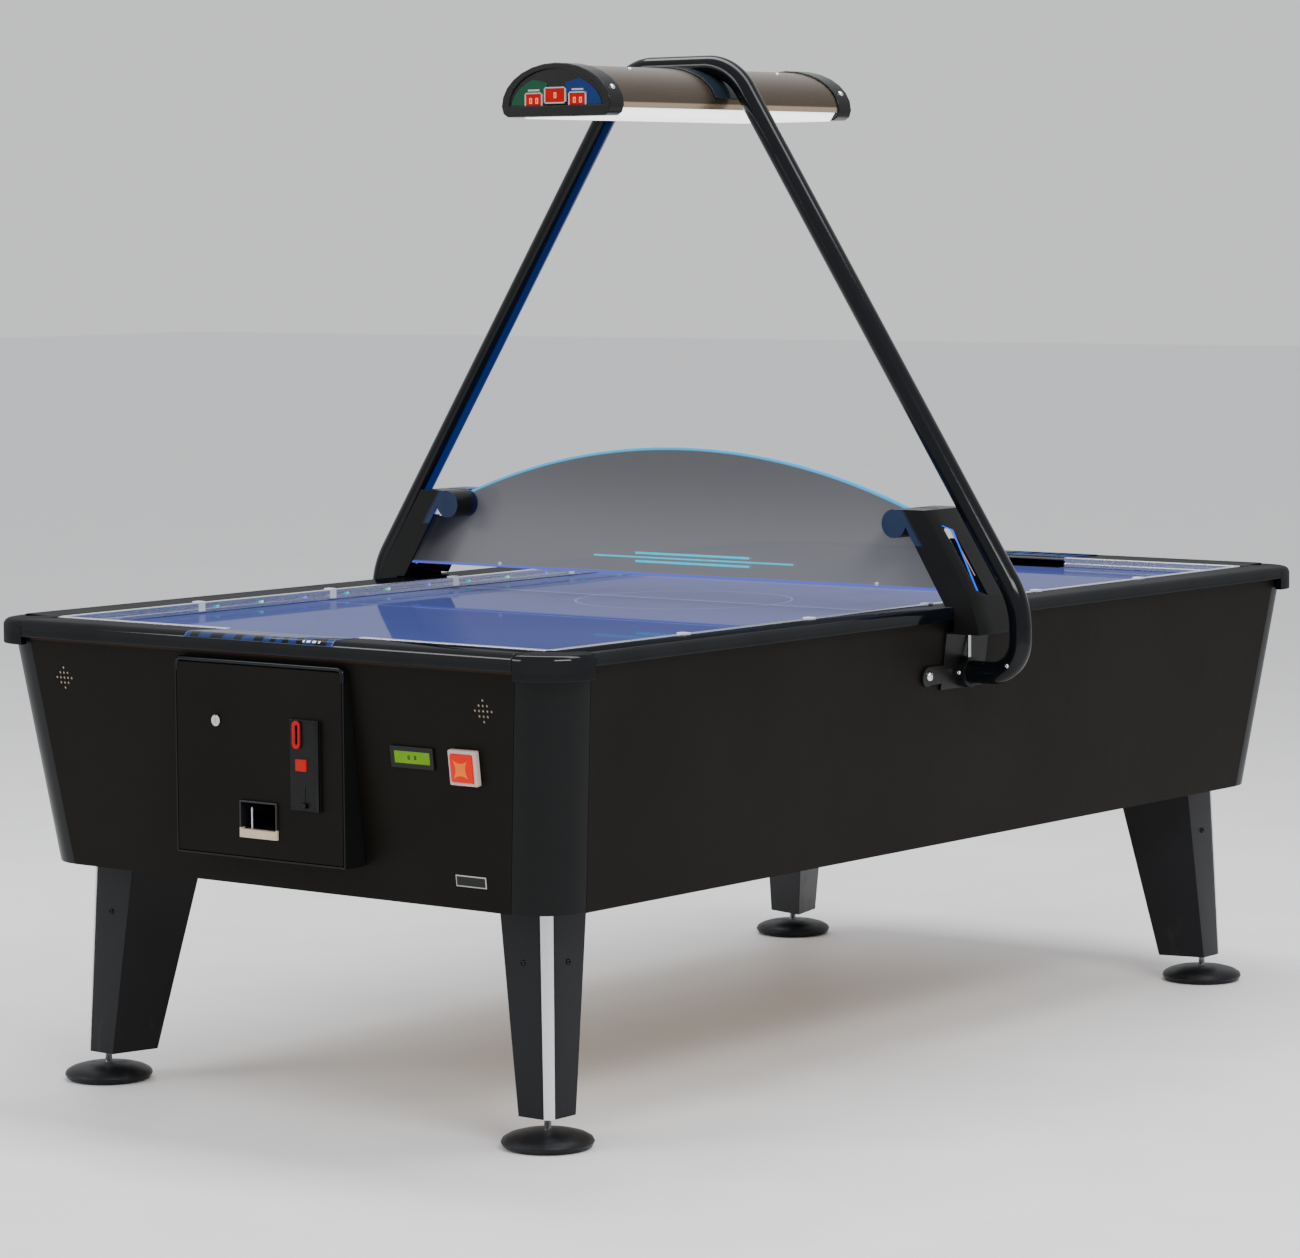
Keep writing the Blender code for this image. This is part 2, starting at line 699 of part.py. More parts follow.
def return_cup(name, end, front, kind=None):
    """The cup that a puck drops into, open at the front and the top, with a raised lip."""
    sign = ENDS[end]
    half = PUCK / 2 + 2 * FIT + CHUTE_WALL
    back = sign * (end_face(RETURN_TOP) - PANEL - FIT - CHUTE_DEPTH - CHUTE_WALL)
    low_x, high_x = sorted((front, back))
    bottom = RETURN_TOP - RETURN_HEIGHT
    cup = box(name, (low_x, -half, bottom), (high_x, half, RETURN_TOP), kind)
    reach = sorted((front + sign * CHUTE_WALL, back + sign * CHUTE_WALL))
    hollow = box(
        name + "_cutter",
        (reach[0], CHUTE_WALL - half, bottom + RETURN_LIP),
        (reach[1], half - CHUTE_WALL, RETURN_TOP - CHUTE_WALL),
    )
    mouth = sorted((sign * (end_face(RETURN_TOP) - PANEL - FIT - CHUTE_WALL), back + sign * CHUTE_WALL))
    top = box(
        name + "_mouth",
        (mouth[0], CHUTE_WALL - half, bottom + RETURN_LIP),
        (mouth[1], half - CHUTE_WALL, RETURN_TOP + FIT),
    )
    cut(cup, hollow, top)
    return cup


# ---------------------------------------------------------------- blower and electrics


def blower():
    """A centrifugal blower on the floor: a drum, a motor on top and a duct up to the plenum."""
    low = FLOOR_TOP + GAP
    top = low + BLOWER_HEIGHT
    duct_top = FIELD_TOP - FIELD_THICK - GAP - PLENUM_DEPTH - GAP
    spot = BLOWER_X + DUCT_OFFSET
    housing = rod("blower_housing", (BLOWER_X, 0, low), (BLOWER_X, 0, top), BLOWER_RADIUS, "zinc", 32)
    inside = BLOWER_RADIUS - BLOWER_WALL
    drum = rod("drum_cutter", (BLOWER_X, 0, low - FIT), (BLOWER_X, 0, top - BLOWER_WALL), inside, None, 32)
    motor_top = top + 2 * MOTOR_RADIUS
    motor = rod("motor_body", (BLOWER_X, 0, top - BLOWER_WALL / 2), (BLOWER_X, 0, motor_top), MOTOR_RADIUS)
    duct_radius = DUCT_OFFSET - MOTOR_RADIUS - FIT
    duct = rod("duct_body", (spot, 0, top - BLOWER_WALL / 2), (spot, 0, duct_top), duct_radius)
    bore_low = (spot, 0, top - 2 * BLOWER_WALL)
    bore = rod("duct_cutter", bore_low, (spot, 0, duct_top + FIT), duct_radius - BLOWER_WALL)
    fuse(housing, motor, duct)
    cut(housing, drum, bore)


def impeller():
    """A disc with radial blades under it, hung from the motor's shaft."""
    top = FLOOR_TOP + BLOWER_HEIGHT - BLOWER_WALL - 4 * FIT
    low = top - IMPELLER_HEIGHT
    disc_low = (BLOWER_X, 0, top - IMPELLER_PLATE)
    wheel = rod("blower_impeller", disc_low, (BLOWER_X, 0, top), IMPELLER_RADIUS, "zinc", 30)
    hub = rod("hub_body", (BLOWER_X, 0, low), (BLOWER_X, 0, top - IMPELLER_PLATE / 2), HUB_RADIUS)
    fuse(wheel, hub)
    for number in range(BLADES):
        blade = box(
            f"blade_body_{number}",
            (IMPELLER_RADIUS - BLADE_LENGTH - FIT, -BLADE_THICK / 2, low),
            (IMPELLER_RADIUS - FIT, BLADE_THICK / 2, top - IMPELLER_PLATE / 2),
        )
        turn = Matrix.Rotation(2 * math.pi * number / BLADES, 4, "Z")
        blade.data.transform(Matrix.Translation((BLOWER_X, 0, 0)) @ turn)
        fuse(wheel, blade)
    set_origin(wheel, (BLOWER_X, 0, low))


def control_box():
    length, width, height = CONTROL_BOX
    low = (CONTROL_X - length / 2, -width / 2, FLOOR_TOP + GAP)
    high = (CONTROL_X + length / 2, width / 2, FLOOR_TOP + height)
    box("control_box", low, high, "lamp_cap", bevel=0.004)


# ---------------------------------------------------------------- legs and feet


def leg_section(size, inset):
    """A leg's section seen from above, for the corner at +X +Y: (x, y) points with a round outer edge."""
    width, depth, radius = size
    corner_x = end_face(CAB_BOTTOM) - inset
    corner_y = side_face(CAB_BOTTOM) - inset
    points = [(corner_x - width, corner_y)]
    points += arc(corner_x - radius, corner_y - radius, radius, 90, 0, 6)
    points += [(corner_x, corner_y - width), (corner_x - depth, corner_y - depth)]
    return points


def trim_section(size, inset):
    """The metal strip round a leg's outer edge, as two arcs."""
    radius = size[2]
    centre_x = end_face(CAB_BOTTOM) - inset - radius
    centre_y = side_face(CAB_BOTTOM) - inset - radius
    start, stop = 45 - TRIM_HALF_ANGLE, 45 + TRIM_HALF_ANGLE
    points = arc(centre_x, centre_y, radius + GAP + TRIM_THICK, stop, start, 4)
    points += arc(centre_x, centre_y, radius + GAP, start, stop, 4)
    return points


def loft(name, low_points, low_z, high_points, high_z, signs, kind):
    """A closed solid between two sections with the same number of points."""
    if signs[0] * signs[1] < 0:
        low_points, high_points = low_points[::-1], high_points[::-1]
    count = len(low_points)
    places = [(x * signs[0], y * signs[1], low_z) for x, y in low_points]
    places += [(x * signs[0], y * signs[1], high_z) for x, y in high_points]
    bm = bmesh.new()
    verts = [bm.verts.new(place) for place in places]
    bm.faces.new(verts[:count])
    bm.faces.new(verts[count:][::-1])
    for i in range(count):
        j = (i + 1) % count
        bm.faces.new((verts[i], verts[i + count], verts[j + count], verts[j]))
    bmesh.ops.recalc_face_normals(bm, faces=bm.faces)
    mesh = bpy.data.meshes.new(name)
    bm.to_mesh(mesh)
    bm.free()
    mesh.shade_smooth()
    mesh.set_sharp_from_angle(angle=math.radians(35))
    return link(name, mesh, kind)


def leg(end, side):
    """A tapering leg, its metal edge strip, and the levelling foot that screws into it."""
    signs = (ENDS[end], SIDES[side])
    tag = f"{end}_{side}"
    foot = leg_section(LEG_FOOT_SIZE, LEG_FOOT_INSET)
    head = leg_section(LEG_TOP_SIZE, LEG_TOP_INSET)
    body = loft(f"leg_{tag}", foot, LEG_BOTTOM, head, CAB_BOTTOM - GAP, signs, "leg")
    trim_foot = trim_section(LEG_FOOT_SIZE, LEG_FOOT_INSET)
    trim_head = trim_section(LEG_TOP_SIZE, LEG_TOP_INSET)
    loft(f"leg_trim_{tag}", trim_foot, LEG_BOTTOM, trim_head, CAB_BOTTOM - GAP, signs, "aluminium")
    x = signs[0] * (end_face(CAB_BOTTOM) - FOOT_INSET)
    y = signs[1] * (side_face(CAB_BOTTOM) - FOOT_INSET)
    top = STEM_TOP + STEM_TRAVEL
    cut(body, rod(f"stem_cutter_{tag}", (x, y, LEG_BOTTOM - FIT), (x, y, top), STEM_RADIUS + FIT / 2))
    levelling_foot(f"foot_{tag}", (x, y, 0.0))


def levelling_foot(name, place):
    """A domed disc on a threaded stem, turned in one piece."""
    neck = 2 * STEM_RADIUS
    profile = [(0.0, STEM_TOP), (STEM_RADIUS, STEM_TOP), (STEM_RADIUS, FOOT_HEIGHT), (neck, FOOT_HEIGHT)]
    for step in range(1, 6):
        angle = math.radians(18 * step)
        radius = neck + (FOOT_RADIUS - neck) * math.sin(angle)
        profile.append((radius, 0.010 + (FOOT_HEIGHT - 0.010) * math.cos(angle)))
    profile += [(FOOT_RADIUS - 0.004, 0.003), (FOOT_RADIUS - 0.012, 0.0), (0.0, 0.0)]
    foot = turned(name, profile, "foot")
    foot.location = place


# ---------------------------------------------------------------- arch, brackets and barrier


def rounded_path(corners, radii, steps=6):
    """A line through corner points with each inner corner turned on a radius."""
    path = [Vector(corners[0])]
    for before, corner, after, radius in zip(corners, corners[1:], corners[2:], radii):
        corner = Vector(corner)
        back = (Vector(before) - corner).normalized()
        on = (Vector(after) - corner).normalized()
        half = back.angle(on) / 2
        reach = radius / math.tan(half)
        centre = corner + (back + on).normalized() * (radius / math.sin(half))
        start = corner + back * reach - centre
        turn = corner + on * reach - centre
        path += [centre + start.slerp(turn, i / steps).normalized() * radius for i in range(steps + 1)]
    path.append(Vector(corners[-1]))
    return path


def arch_half():
    """The far half of the arch's centreline, from the middle of the top to the end held by the bracket."""
    end_y = side_face(ARCH_LOW_Z) + GAP + BRACKET_PLATE + FIT
    corners = [
        (0, 0, ARCH_TOP_Z),
        (0, ARCH_TOP_HALF, ARCH_TOP_Z),
        (0, ARCH_OUT, ARCH_KNEE_Z),
        (0, ARCH_OUT, ARCH_LOW_Z),
        (0, end_y, ARCH_LOW_Z),
    ]
    return rounded_path(corners, (ARCH_TOP_BEND, ARCH_KNEE_BEND, ARCH_LOW_BEND))


def arch_points():
    half = arch_half()
    near = [Vector((point.x, -point.y, point.z)) for point in reversed(half[1:])]
    return near + half[1:]


def web_line(inset, top, bottom):
    """A line inside the arch tube at an even distance from its centreline, top to bottom, as (y, z)."""
    stretch = math.hypot(1.0, ARCH_SLOPE)
    turn = math.atan(ARCH_SLOPE)
    corner_z = ARCH_KNEE_Z + inset * (1.0 - stretch) / ARCH_SLOPE
    reach = (ARCH_KNEE_BEND - inset) * math.tan(turn / 2)
    foot_y = ARCH_OUT - inset
    return [
        (ARCH_OUT - ARCH_SLOPE * (top - ARCH_KNEE_Z) - inset * stretch, top),
        (foot_y - reach * math.sin(turn), corner_z + reach * math.cos(turn)),
        (foot_y, corner_z - reach),
        (foot_y, bottom),
    ]


def web_y(z, inset=WEB_INSET):
    """Where a line inside the arch tube crosses a height."""
    line = web_line(inset, FIELD_TOP + 2 * HOOD_TOP, FIELD_TOP - 2 * HOOD_BOTTOM)
    for (upper_y, upper_z), (lower_y, lower_z) in zip(line, line[1:]):
        if lower_z <= z <= upper_z:
            return upper_y + (lower_y - upper_y) * (upper_z - z) / (upper_z - lower_z)
    return line[-1][0]


def bracket(side):
    """A sheet metal hood round the barrier's end, over a plate that holds the arch to the cabinet."""
    sign = SIDES[side]
    top, bottom = FIELD_TOP + HOOD_TOP, FIELD_TOP - HOOD_BOTTOM
    over_rail = RAIL_TOP + FIT
    beside_rail = HALF_WIDTH + FIT
    outline = web_line(WEB_INSET, top, bottom) + [(beside_rail, bottom), (beside_rail, over_rail)]
    outline += [(web_y(over_rail) - HOOD_DEPTH, over_rail), (web_y(top) - HOOD_DEPTH, top)]
    hood = prism(f"arch_bracket_{side}", mirrored(outline, sign), "x", -HOOD_HALF, HOOD_HALF, "sheet_black")
    wall = HOOD_WALL
    hollow = web_line(WEB_INSET + wall, top - wall, bottom + wall)
    hollow += [(beside_rail - HOOD_DEPTH, bottom + wall), (web_y(top) - 2 * HOOD_DEPTH, top - wall)]
    reach = HOOD_HALF - wall
    cut(hood, prism(f"hood_cutter_{side}", mirrored(hollow, sign), "x", -reach, reach))
    roll_y = sign * (web_y(top) - HOOD_DEPTH - ROLL_PROUD)
    roll_z = top - ROLL_RADIUS
    roll_ends = (-HOOD_HALF, roll_y, roll_z), (HOOD_HALF, roll_y, roll_z)
    fuse(hood, rod(f"roll_body_{side}", *roll_ends, ROLL_RADIUS))
    slot = SHEET_THICK / 2 + FIT
    span = sorted((sign * (abs(roll_y) - 2 * ROLL_RADIUS), sign * (abs(roll_y) + 2 * ROLL_RADIUS)))
    low, high = (-slot, span[0], roll_z - 2 * ROLL_RADIUS), (slot, span[1], top + FIT)
    cut(hood, box(f"slot_cutter_{side}", low, high))
    bracket_slot(hood, side)
    bracket_ribs(hood, side)
    bracket_foot(hood, side)


def bracket_slot(hood, side):
    """A slot through the hood's outer wall. The two hoods are one part, turned half round."""
    sign = SIDES[side]
    near, far, low, high = WEB_SLOT
    outline = [(low, far), (low - WEB_SLOT_TILT, near), (high - WEB_SLOT_TILT, near), (high, far)]
    outline = [(FIELD_TOP + up, sign * along) for up, along in outline]
    span = sorted((sign * (web_y(FIELD_TOP + high) - HOOD_DEPTH / 2), sign * ARCH_OUT))
    cut(hood, prism(f"web_cutter_{side}", outline, "y", *span))


def bracket_ribs(hood, side):
    """Two ribs inside the hood that grip the barrier's end between them."""
    low, high = sheet_bottom(), FIELD_TOP + HOOD_TOP - 2 * ROLL_RADIUS
    root = WEB_INSET + HOOD_WALL / 2
    outline = [(web_y(z, root), z) for z in (low, high)]
    outline += [(web_y(z, root + RIB_DEPTH), z) for z in (high, low)]
    outline = mirrored(outline, SIDES[side])
    for number, sign in enumerate((-1, 1)):
        faces = sorted((sign * (SHEET_THICK / 2 + FIT), sign * (SHEET_THICK / 2 + FIT + HOOD_WALL)))
        fuse(hood, prism(f"rib_body_{side}_{number}", outline, "x", *faces))


def bracket_lug(side):
    """A tongue beside the foot's plate that ends in a round boss for a bolt."""
    sign = SIDES[side]
    bolt = LUG_REACH * sign
    low, high = ARCH_LOW_Z - 0.9 * LUG_RADIUS, ARCH_LOW_Z + 0.9 * LUG_RADIUS
    strip = [
        (side_face(high) + 2 * GAP, high),
        (side_face(low) + 2 * GAP, low),
        (side_face(low) + BRACKET_PLATE, low),
        (side_face(high) + BRACKET_PLATE, high),
    ]
    lug = prism(f"lug_body_{side}", mirrored(strip, sign), "x", *sorted((bolt, sign * (HOOD_HALF - 2 * FIT))))
    middle = Vector((bolt, sign * (side_face(ARCH_LOW_Z) + GAP), ARCH_LOW_Z))
    outward = Vector((0.0, sign, -SIDE_LEAN)).normalized()
    ends = middle + outward * FIT, middle + outward * (BRACKET_PLATE + LUG_PROUD)
    return lug, rod(f"nose_body_{side}", *ends, LUG_RADIUS, None, 20)


def bracket_foot(hood, side):
    """The flange under the rail, the plate down the cabinet's side, and the socket round the arch's end."""
    sign = SIDES[side]
    shelf = FIELD_TOP - HOOD_BOTTOM
    toe = ARCH_LOW_Z - SOCKET_RADIUS
    outer = HALF_WIDTH + 2 * BRACKET_PLATE
    outline = [
        (outer, shelf),
        (outer, shelf + HOOD_WALL),
        (side_face(shelf + HOOD_WALL) + GAP, shelf + HOOD_WALL),
        (side_face(toe) + GAP, toe),
        (side_face(toe) + GAP + BRACKET_PLATE, toe),
        (side_face(shelf) + GAP + BRACKET_PLATE, shelf),
    ]
    plate = prism(f"foot_body_{side}", mirrored(outline, sign), "x", -HOOD_HALF, HOOD_HALF)
    lug, nose = bracket_lug(side)
    panel = [(0.0, shelf), (side_face(shelf) + GAP, shelf), (side_face(toe) + GAP, toe), (0.0, toe)]
    slope = prism(f"panel_cutter_{side}", mirrored(panel, sign), "x", -2 * HOOD_HALF, 2 * HOOD_HALF)
    start = sign * (side_face(ARCH_LOW_Z) - BRACKET_PLATE)
    stop = sign * (side_face(ARCH_LOW_Z) + GAP + BRACKET_PLATE + SOCKET_DEPTH)
    socket = rod(f"socket_body_{side}", (0, start, ARCH_LOW_Z), (0, stop, ARCH_LOW_Z), SOCKET_RADIUS - FIT)
    fuse(hood, plate, lug, nose, socket)
    seat = sign * (side_face(ARCH_LOW_Z) + GAP + BRACKET_PLATE)
    bore_end = (0, stop + sign * FIT, ARCH_LOW_Z)
    cut(hood, slope, rod(f"socket_cutter_{side}", (0, seat, ARCH_LOW_Z), bore_end, TUBE_RADIUS + GAP))


def sheet_bottom():
    return FIELD_TOP + SHEET_GAP


def barrier_sheet():
    """The clear sheet across the table: a shallow arc on top, its ends held in the brackets."""
    radius = (SHEET_HALF**2 + SHEET_SAGITTA**2) / (2 * SHEET_SAGITTA)
    crown = FIELD_TOP + SHEET_RISE
    swing = math.degrees(math.asin(SHEET_HALF / radius))
    top = arc(0.0, crown - radius, radius, 90 - swing, 90 + swing, 16)
    inset = WEB_INSET + HOOD_WALL + 2 * FIT
    shoulder = FIELD_TOP + HOOD_TOP - 2 * ROLL_RADIUS - 2 * FIT
    low = sheet_bottom()
    ends = [(web_y(low, inset), low), (web_y(shoulder, inset), shoulder)]
    ends.append((SHEET_HALF + ROLL_RADIUS, shoulder))
    outline = ends + top + [(-y, z) for y, z in reversed(ends)]
    half = SHEET_THICK / 2
    sheet = prism("barrier_sheet", outline, "x", -half, half, "acrylic")
    return sheet


# ---------------------------------------------------------------- lamp


def lamp_crown():
    """Height of the lamp's widest line."""
    return ARCH_TOP_Z - LAMP_SINK - LAMP_CROWN


def half_oval(half, rise, steps=14):
    """Points over the top of the lamp's section from +Y to -Y, as (y, z)."""
    angles = [math.pi * i / steps for i in range(steps + 1)]
    return [(half * math.cos(a), lamp_crown() + rise * math.sin(a)) for a in angles]


def lamp():
    """A long half-round shell over a glowing panel, notched on top where the arch passes."""
    reach = LAMP_LENGTH / 2 - LAMP_CAP - GAP
    lip = lamp_crown() - LAMP_LIP
    outer = [(LAMP_HALF, lip), *half_oval(LAMP_HALF, LAMP_CROWN), (-LAMP_HALF, lip)]
    inside = LAMP_HALF - LAMP_SHELL
    inner = [(inside, lip), *half_oval(inside, LAMP_CROWN - LAMP_SHELL), (-inside, lip)]
    body = prism("lamp_body", outer + inner[::-1], "x", -reach, reach, "bronze")
    cut(body, tube("arch_cutter", arch_points(), TUBE_RADIUS + FIT))
    half = inside - 2 * FIT
    drop = lamp_crown() - DIFFUSER_DROP
    panel = [(half, lip), (-half, lip), (-half + 0.012, drop), (half - 0.012, drop)]
    prism("lamp_diffuser", panel, "x", -reach, reach, "diffuser")
    for end, sign in ENDS.items():
        lamp_cap(end, sign)


def lamp_cap(end, sign):
    """An end cap with a recessed face for the scoreboard."""
    half, rise = LAMP_HALF + LAMP_CAP_GROW, LAMP_CROWN + LAMP_CAP_GROW
    low = lamp_crown() - LAMP_CAP_DROP
    outline = half_oval(half, rise)
    outline += [(-half + 0.004, low + 0.006), (-half + 0.014, low)]
    outline += [(half - 0.014, low), (half - 0.004, low + 0.006)]
    faces = sorted((sign * LAMP_LENGTH / 2, sign * (LAMP_LENGTH / 2 - LAMP_CAP)))
    cap = prism(f"lamp_cap_{end}", outline, "x", *faces, "lamp_cap")
    middle = lamp_crown() + 0.006
    face = [(y * FACE_SHRINK, middle + (z - middle) * FACE_SHRINK) for y, z in half_oval(half, rise)]
    depth = sorted((sign * (LAMP_LENGTH / 2 - FACE_RECESS), sign * (LAMP_LENGTH / 2 + FIT)))
    cut(cap, prism(f"face_cutter_{end}", face, "x", *depth))


# ---------------------------------------------------------------- coin box and door


def door_size():
    """Half width, bottom and top of the door that fits inside the coin box."""
    inset = BOX_WALL + DOOR_GAP
    return BOX_HALF - inset, BOX_BOTTOM + inset, BOX_TOP - inset


def coin_box():
    """The wedge-shaped surround that brings the door upright on the sloping end."""
    back = -end_face(BOX_TOP) + 2 * PANEL
    outer = box("coin_box", (DOOR_X, -BOX_HALF, BOX_BOTTOM), (back, BOX_HALF, BOX_TOP), "sheet_black")
    low = (DOOR_X - FIT, BOX_WALL - BOX_HALF, BOX_BOTTOM + BOX_WALL)
    high = (back + FIT, BOX_HALF - BOX_WALL, BOX_TOP - BOX_WALL)
    cut(outer, box("coin_box_cutter", low, high))
    slab = [
        (BOX_BOTTOM - BOX_WALL, -end_face(BOX_BOTTOM - BOX_WALL) - GAP),
        (BOX_TOP + BOX_WALL, -end_face(BOX_TOP + BOX_WALL) - GAP),
        (BOX_TOP + BOX_WALL, -0.8 * CAB_HALF_LENGTH),
        (BOX_BOTTOM - BOX_WALL, -0.8 * CAB_HALF_LENGTH),
    ]
    cut(outer, prism("slope_cutter", slab, "y", -2 * BOX_HALF, 2 * BOX_HALF))
    cam_front = DOOR_X + LOCK_BODY - CAM_THICK
    catch = box(
        "catch_body",
        (cam_front - FIT - CAM_THICK, BOX_HALF - CATCH_REACH, LOCK_Z - LOCK_RADIUS),
        (cam_front - FIT, BOX_HALF - BOX_WALL / 2, LOCK_Z + LOCK_RADIUS),
    )
    fuse(outer, catch)


def hatch(panel):
    """The opening in the front panel behind the coin door."""
    half = BOX_HALF - HATCH_MARGIN
    low = (-HALF_LENGTH, -half, BOX_BOTTOM + HATCH_MARGIN)
    high = (-0.9 * CAB_HALF_LENGTH, half, BOX_TOP - HATCH_MARGIN)
    cut(panel, box("hatch_cutter", low, high))


def coin_door():
    """The flat door with all that is fixed to it, hung on a hinge at its near edge."""
    half, low, high = door_size()
    back = DOOR_X + DOOR_THICK
    door = box("coin_door", (DOOR_X, -half, low), (back, half, high), "laminate")
    lock_hole = (DOOR_X - FIT, LOCK_Y, LOCK_Z), (back + FIT, LOCK_Y, LOCK_Z)
    cut(door, rod("lock_cutter", *lock_hole, LOCK_RADIUS - 2 * FIT + GAP))
    body_width, body_height, _ = COIN_BODY
    slack = FIT / 2
    cut(
        door,
        box(
            "coin_plate_cutter",
            (DOOR_X - FIT, COIN_Y - body_width / 2 - slack, COIN_Z - body_height / 2 - slack),
            (back + FIT, COIN_Y + body_width / 2 + slack, COIN_Z + body_height / 2 + slack),
        ),
    )
    cup_half = PUCK / 2 + 2 * FIT + CHUTE_WALL + GAP
    cup_low = RETURN_TOP - RETURN_HEIGHT - GAP
    cup_hole = (DOOR_X - FIT, -cup_half, cup_low), (back + FIT, cup_half, RETURN_TOP + GAP)
    cut(door, box("cup_cutter", *cup_hole))
    hinge = (DOOR_X + DOOR_THICK / 2, HINGE_INSET - half, (low + high) / 2)
    acceptor = coin_acceptor()
    button = reject_button()
    lock = door_lock()
    cup = return_cup("return_cup_front", "front", DOOR_X - 4 * FIT, "brass")
    pivot("door_hinge", hinge, door, acceptor, button, lock, cup)


def coin_acceptor():
    """A face plate with a coin slot in a raised surround, and the mechanism's case behind it."""
    width, height = COIN_PLATE
    front = DOOR_X - GAP - COIN_PLATE_THICK
    low = (front, COIN_Y - width / 2, COIN_Z - height / 2)
    high = (DOOR_X - GAP, COIN_Y + width / 2, COIN_Z + height / 2)
    plate = box("coin_acceptor", low, high, "sheet_black")
    body_width, body_height, depth = COIN_BODY
    case = box(
        "case_body",
        (DOOR_X - 2 * GAP, COIN_Y - body_width / 2, COIN_Z - body_height / 2),
        (DOOR_X + depth, COIN_Y + body_width / 2, COIN_Z + body_height / 2),
    )
    slot_y = COIN_Y + COIN_SLOT_OFFSET[0]
    slot_z = COIN_Z + COIN_SLOT_OFFSET[1]
    wide, tall, proud = COIN_SURROUND
    ring = [(slot_y + y, slot_z + z) for y, z in rounded_rectangle(wide / 2, tall / 2, wide / 2 - GAP, 4)]
    surround = prism("surround_body", ring, "x", front - proud, front + COIN_PLATE_THICK / 2)
    fuse(plate, case, surround)
    slit_wide, slit_tall = COIN_SLIT
    slit = box(
        "slit_cutter",
        (front - 2 * proud, slot_y - slit_wide / 2, slot_z - slit_tall / 2),
        (DOOR_X + depth / 2, slot_y + slit_wide / 2, slot_z + slit_tall / 2),
    )
    well = box("reject_cutter", *reject_box(FIT / 2, REJECT_TRAVEL + FIT))
    cut(plate, slit, well)
    return plate


def reject_box(grow, deeper):
    """Corners of the reject button, or of its well where it grows."""
    wide, tall = REJECT_SIZE
    y, z = COIN_Y + REJECT_OFFSET[0], COIN_Z + REJECT_OFFSET[1]
    front = DOOR_X - GAP - COIN_PLATE_THICK - REJECT_PROUD
    low = (front - grow, y - wide / 2 - grow, z - tall / 2 - grow)
    high = (DOOR_X + deeper, y + wide / 2 + grow, z + tall / 2 + grow)
    return low, high


def reject_button():
    low, high = reject_box(0.0, 0.0)
    button = box("reject_button", low, high, "red", bevel=0.001, segments=1)
    set_origin(button, [(a + b) / 2 for a, b in zip(low, high)])
    return button


def door_lock():
    """The key cylinder with its cam, upright when unlocked. A quarter turn takes it behind the catch."""
    head_front = DOOR_X - LOCK_HEAD
    back = DOOR_X + LOCK_BODY
    head = (head_front, LOCK_Y, LOCK_Z), (DOOR_X - GAP, LOCK_Y, LOCK_Z)
    lock = rod("door_lock", *head, LOCK_RADIUS, "chrome")
    shaft_radius = LOCK_RADIUS - 2 * FIT
    shaft = rod("lock_shaft", (DOOR_X - 2 * GAP, LOCK_Y, LOCK_Z), (back, LOCK_Y, LOCK_Z), shaft_radius)
    cam = box(
        "cam_body",
        (back - CAM_THICK, LOCK_Y - LOCK_RADIUS / 2, LOCK_Z - LOCK_RADIUS / 2),
        (back, LOCK_Y + LOCK_RADIUS / 2, LOCK_Z + CAM_LENGTH),
    )
    keyway = box(
        "key_cutter",
        (head_front - FIT, LOCK_Y - FIT, LOCK_Z - LOCK_RADIUS / 2),
        (head_front + 2 * FIT, LOCK_Y + FIT, LOCK_Z + LOCK_RADIUS / 2),
    )
    fuse(lock, shaft, cam)
    cut(lock, keyway)
    set_origin(lock, (DOOR_X, LOCK_Y, LOCK_Z))
    return lock


def cash_box():
    """An open box on the floor under the coin mechanism."""
    length, width, height = CASH_BOX
    front = -end_face(FLOOR_TOP) + PANEL + 4 * FIT
    low = Vector((front, COIN_Y - width / 2, FLOOR_TOP + GAP))
    high = low + Vector((length, width, height))
    tray = box("cash_box", low, high, "zinc")
    wall = Vector((CASH_WALL, CASH_WALL, CASH_WALL))
    cut(tray, box("cash_cutter", low + wall, high - wall + Vector((0, 0, 2 * CASH_WALL))))


# ---------------------------------------------------------------- controls on the sloping end


def slope_frame(y, z):
    """Places a piece on the front panel: its local +X points out of the panel, +Y and +Z along it."""
    tilt = Matrix.Rotation(-math.atan(END_LEAN), 4, "Y")
    facing = Matrix.Rotation(math.pi, 4, "Z")
    return Matrix.Translation((-end_face(z), y, z)) @ tilt @ facing


def start_button(panel):
    """A square bezel that stands off the panel, with a sprung button in it."""
    place = slope_frame(START_Y, START_Z)
    half, hole = BEZEL_SIZE / 2, BUTTON_SIZE / 2 + FIT / 2
    neck = hole + 2 * FIT
    bezel = box("start_bezel", (GAP, -half, -half), (BEZEL_PROUD, half, half), "white", bevel=0.002)
    stem = box("bezel_body", (-PANEL - 2 * FIT, -neck, -neck), (2 * GAP, neck, neck))
    well_floor = BEZEL_PROUD - BUTTON_DEPTH - BUTTON_TRAVEL
    well = box("bezel_cutter", (well_floor, -hole, -hole), (2 * BEZEL_PROUD, hole, hole))
    fuse(bezel, stem)
    cut(bezel, well)
    size = BUTTON_SIZE / 2
    front = BEZEL_PROUD + BUTTON_PROUD
    low, high = (front - BUTTON_DEPTH, -size, -size), (front, size, size)
    button = box("start_button", low, high, "red", bevel=0.0015)
    opening = neck + FIT / 2
    through = box("start_cutter", (-2 * PANEL, -opening, -opening), (PANEL / 2, opening, opening))
    for piece in (bezel, stem, well, button, through):
        piece.matrix_world = place
    cut(panel, through)


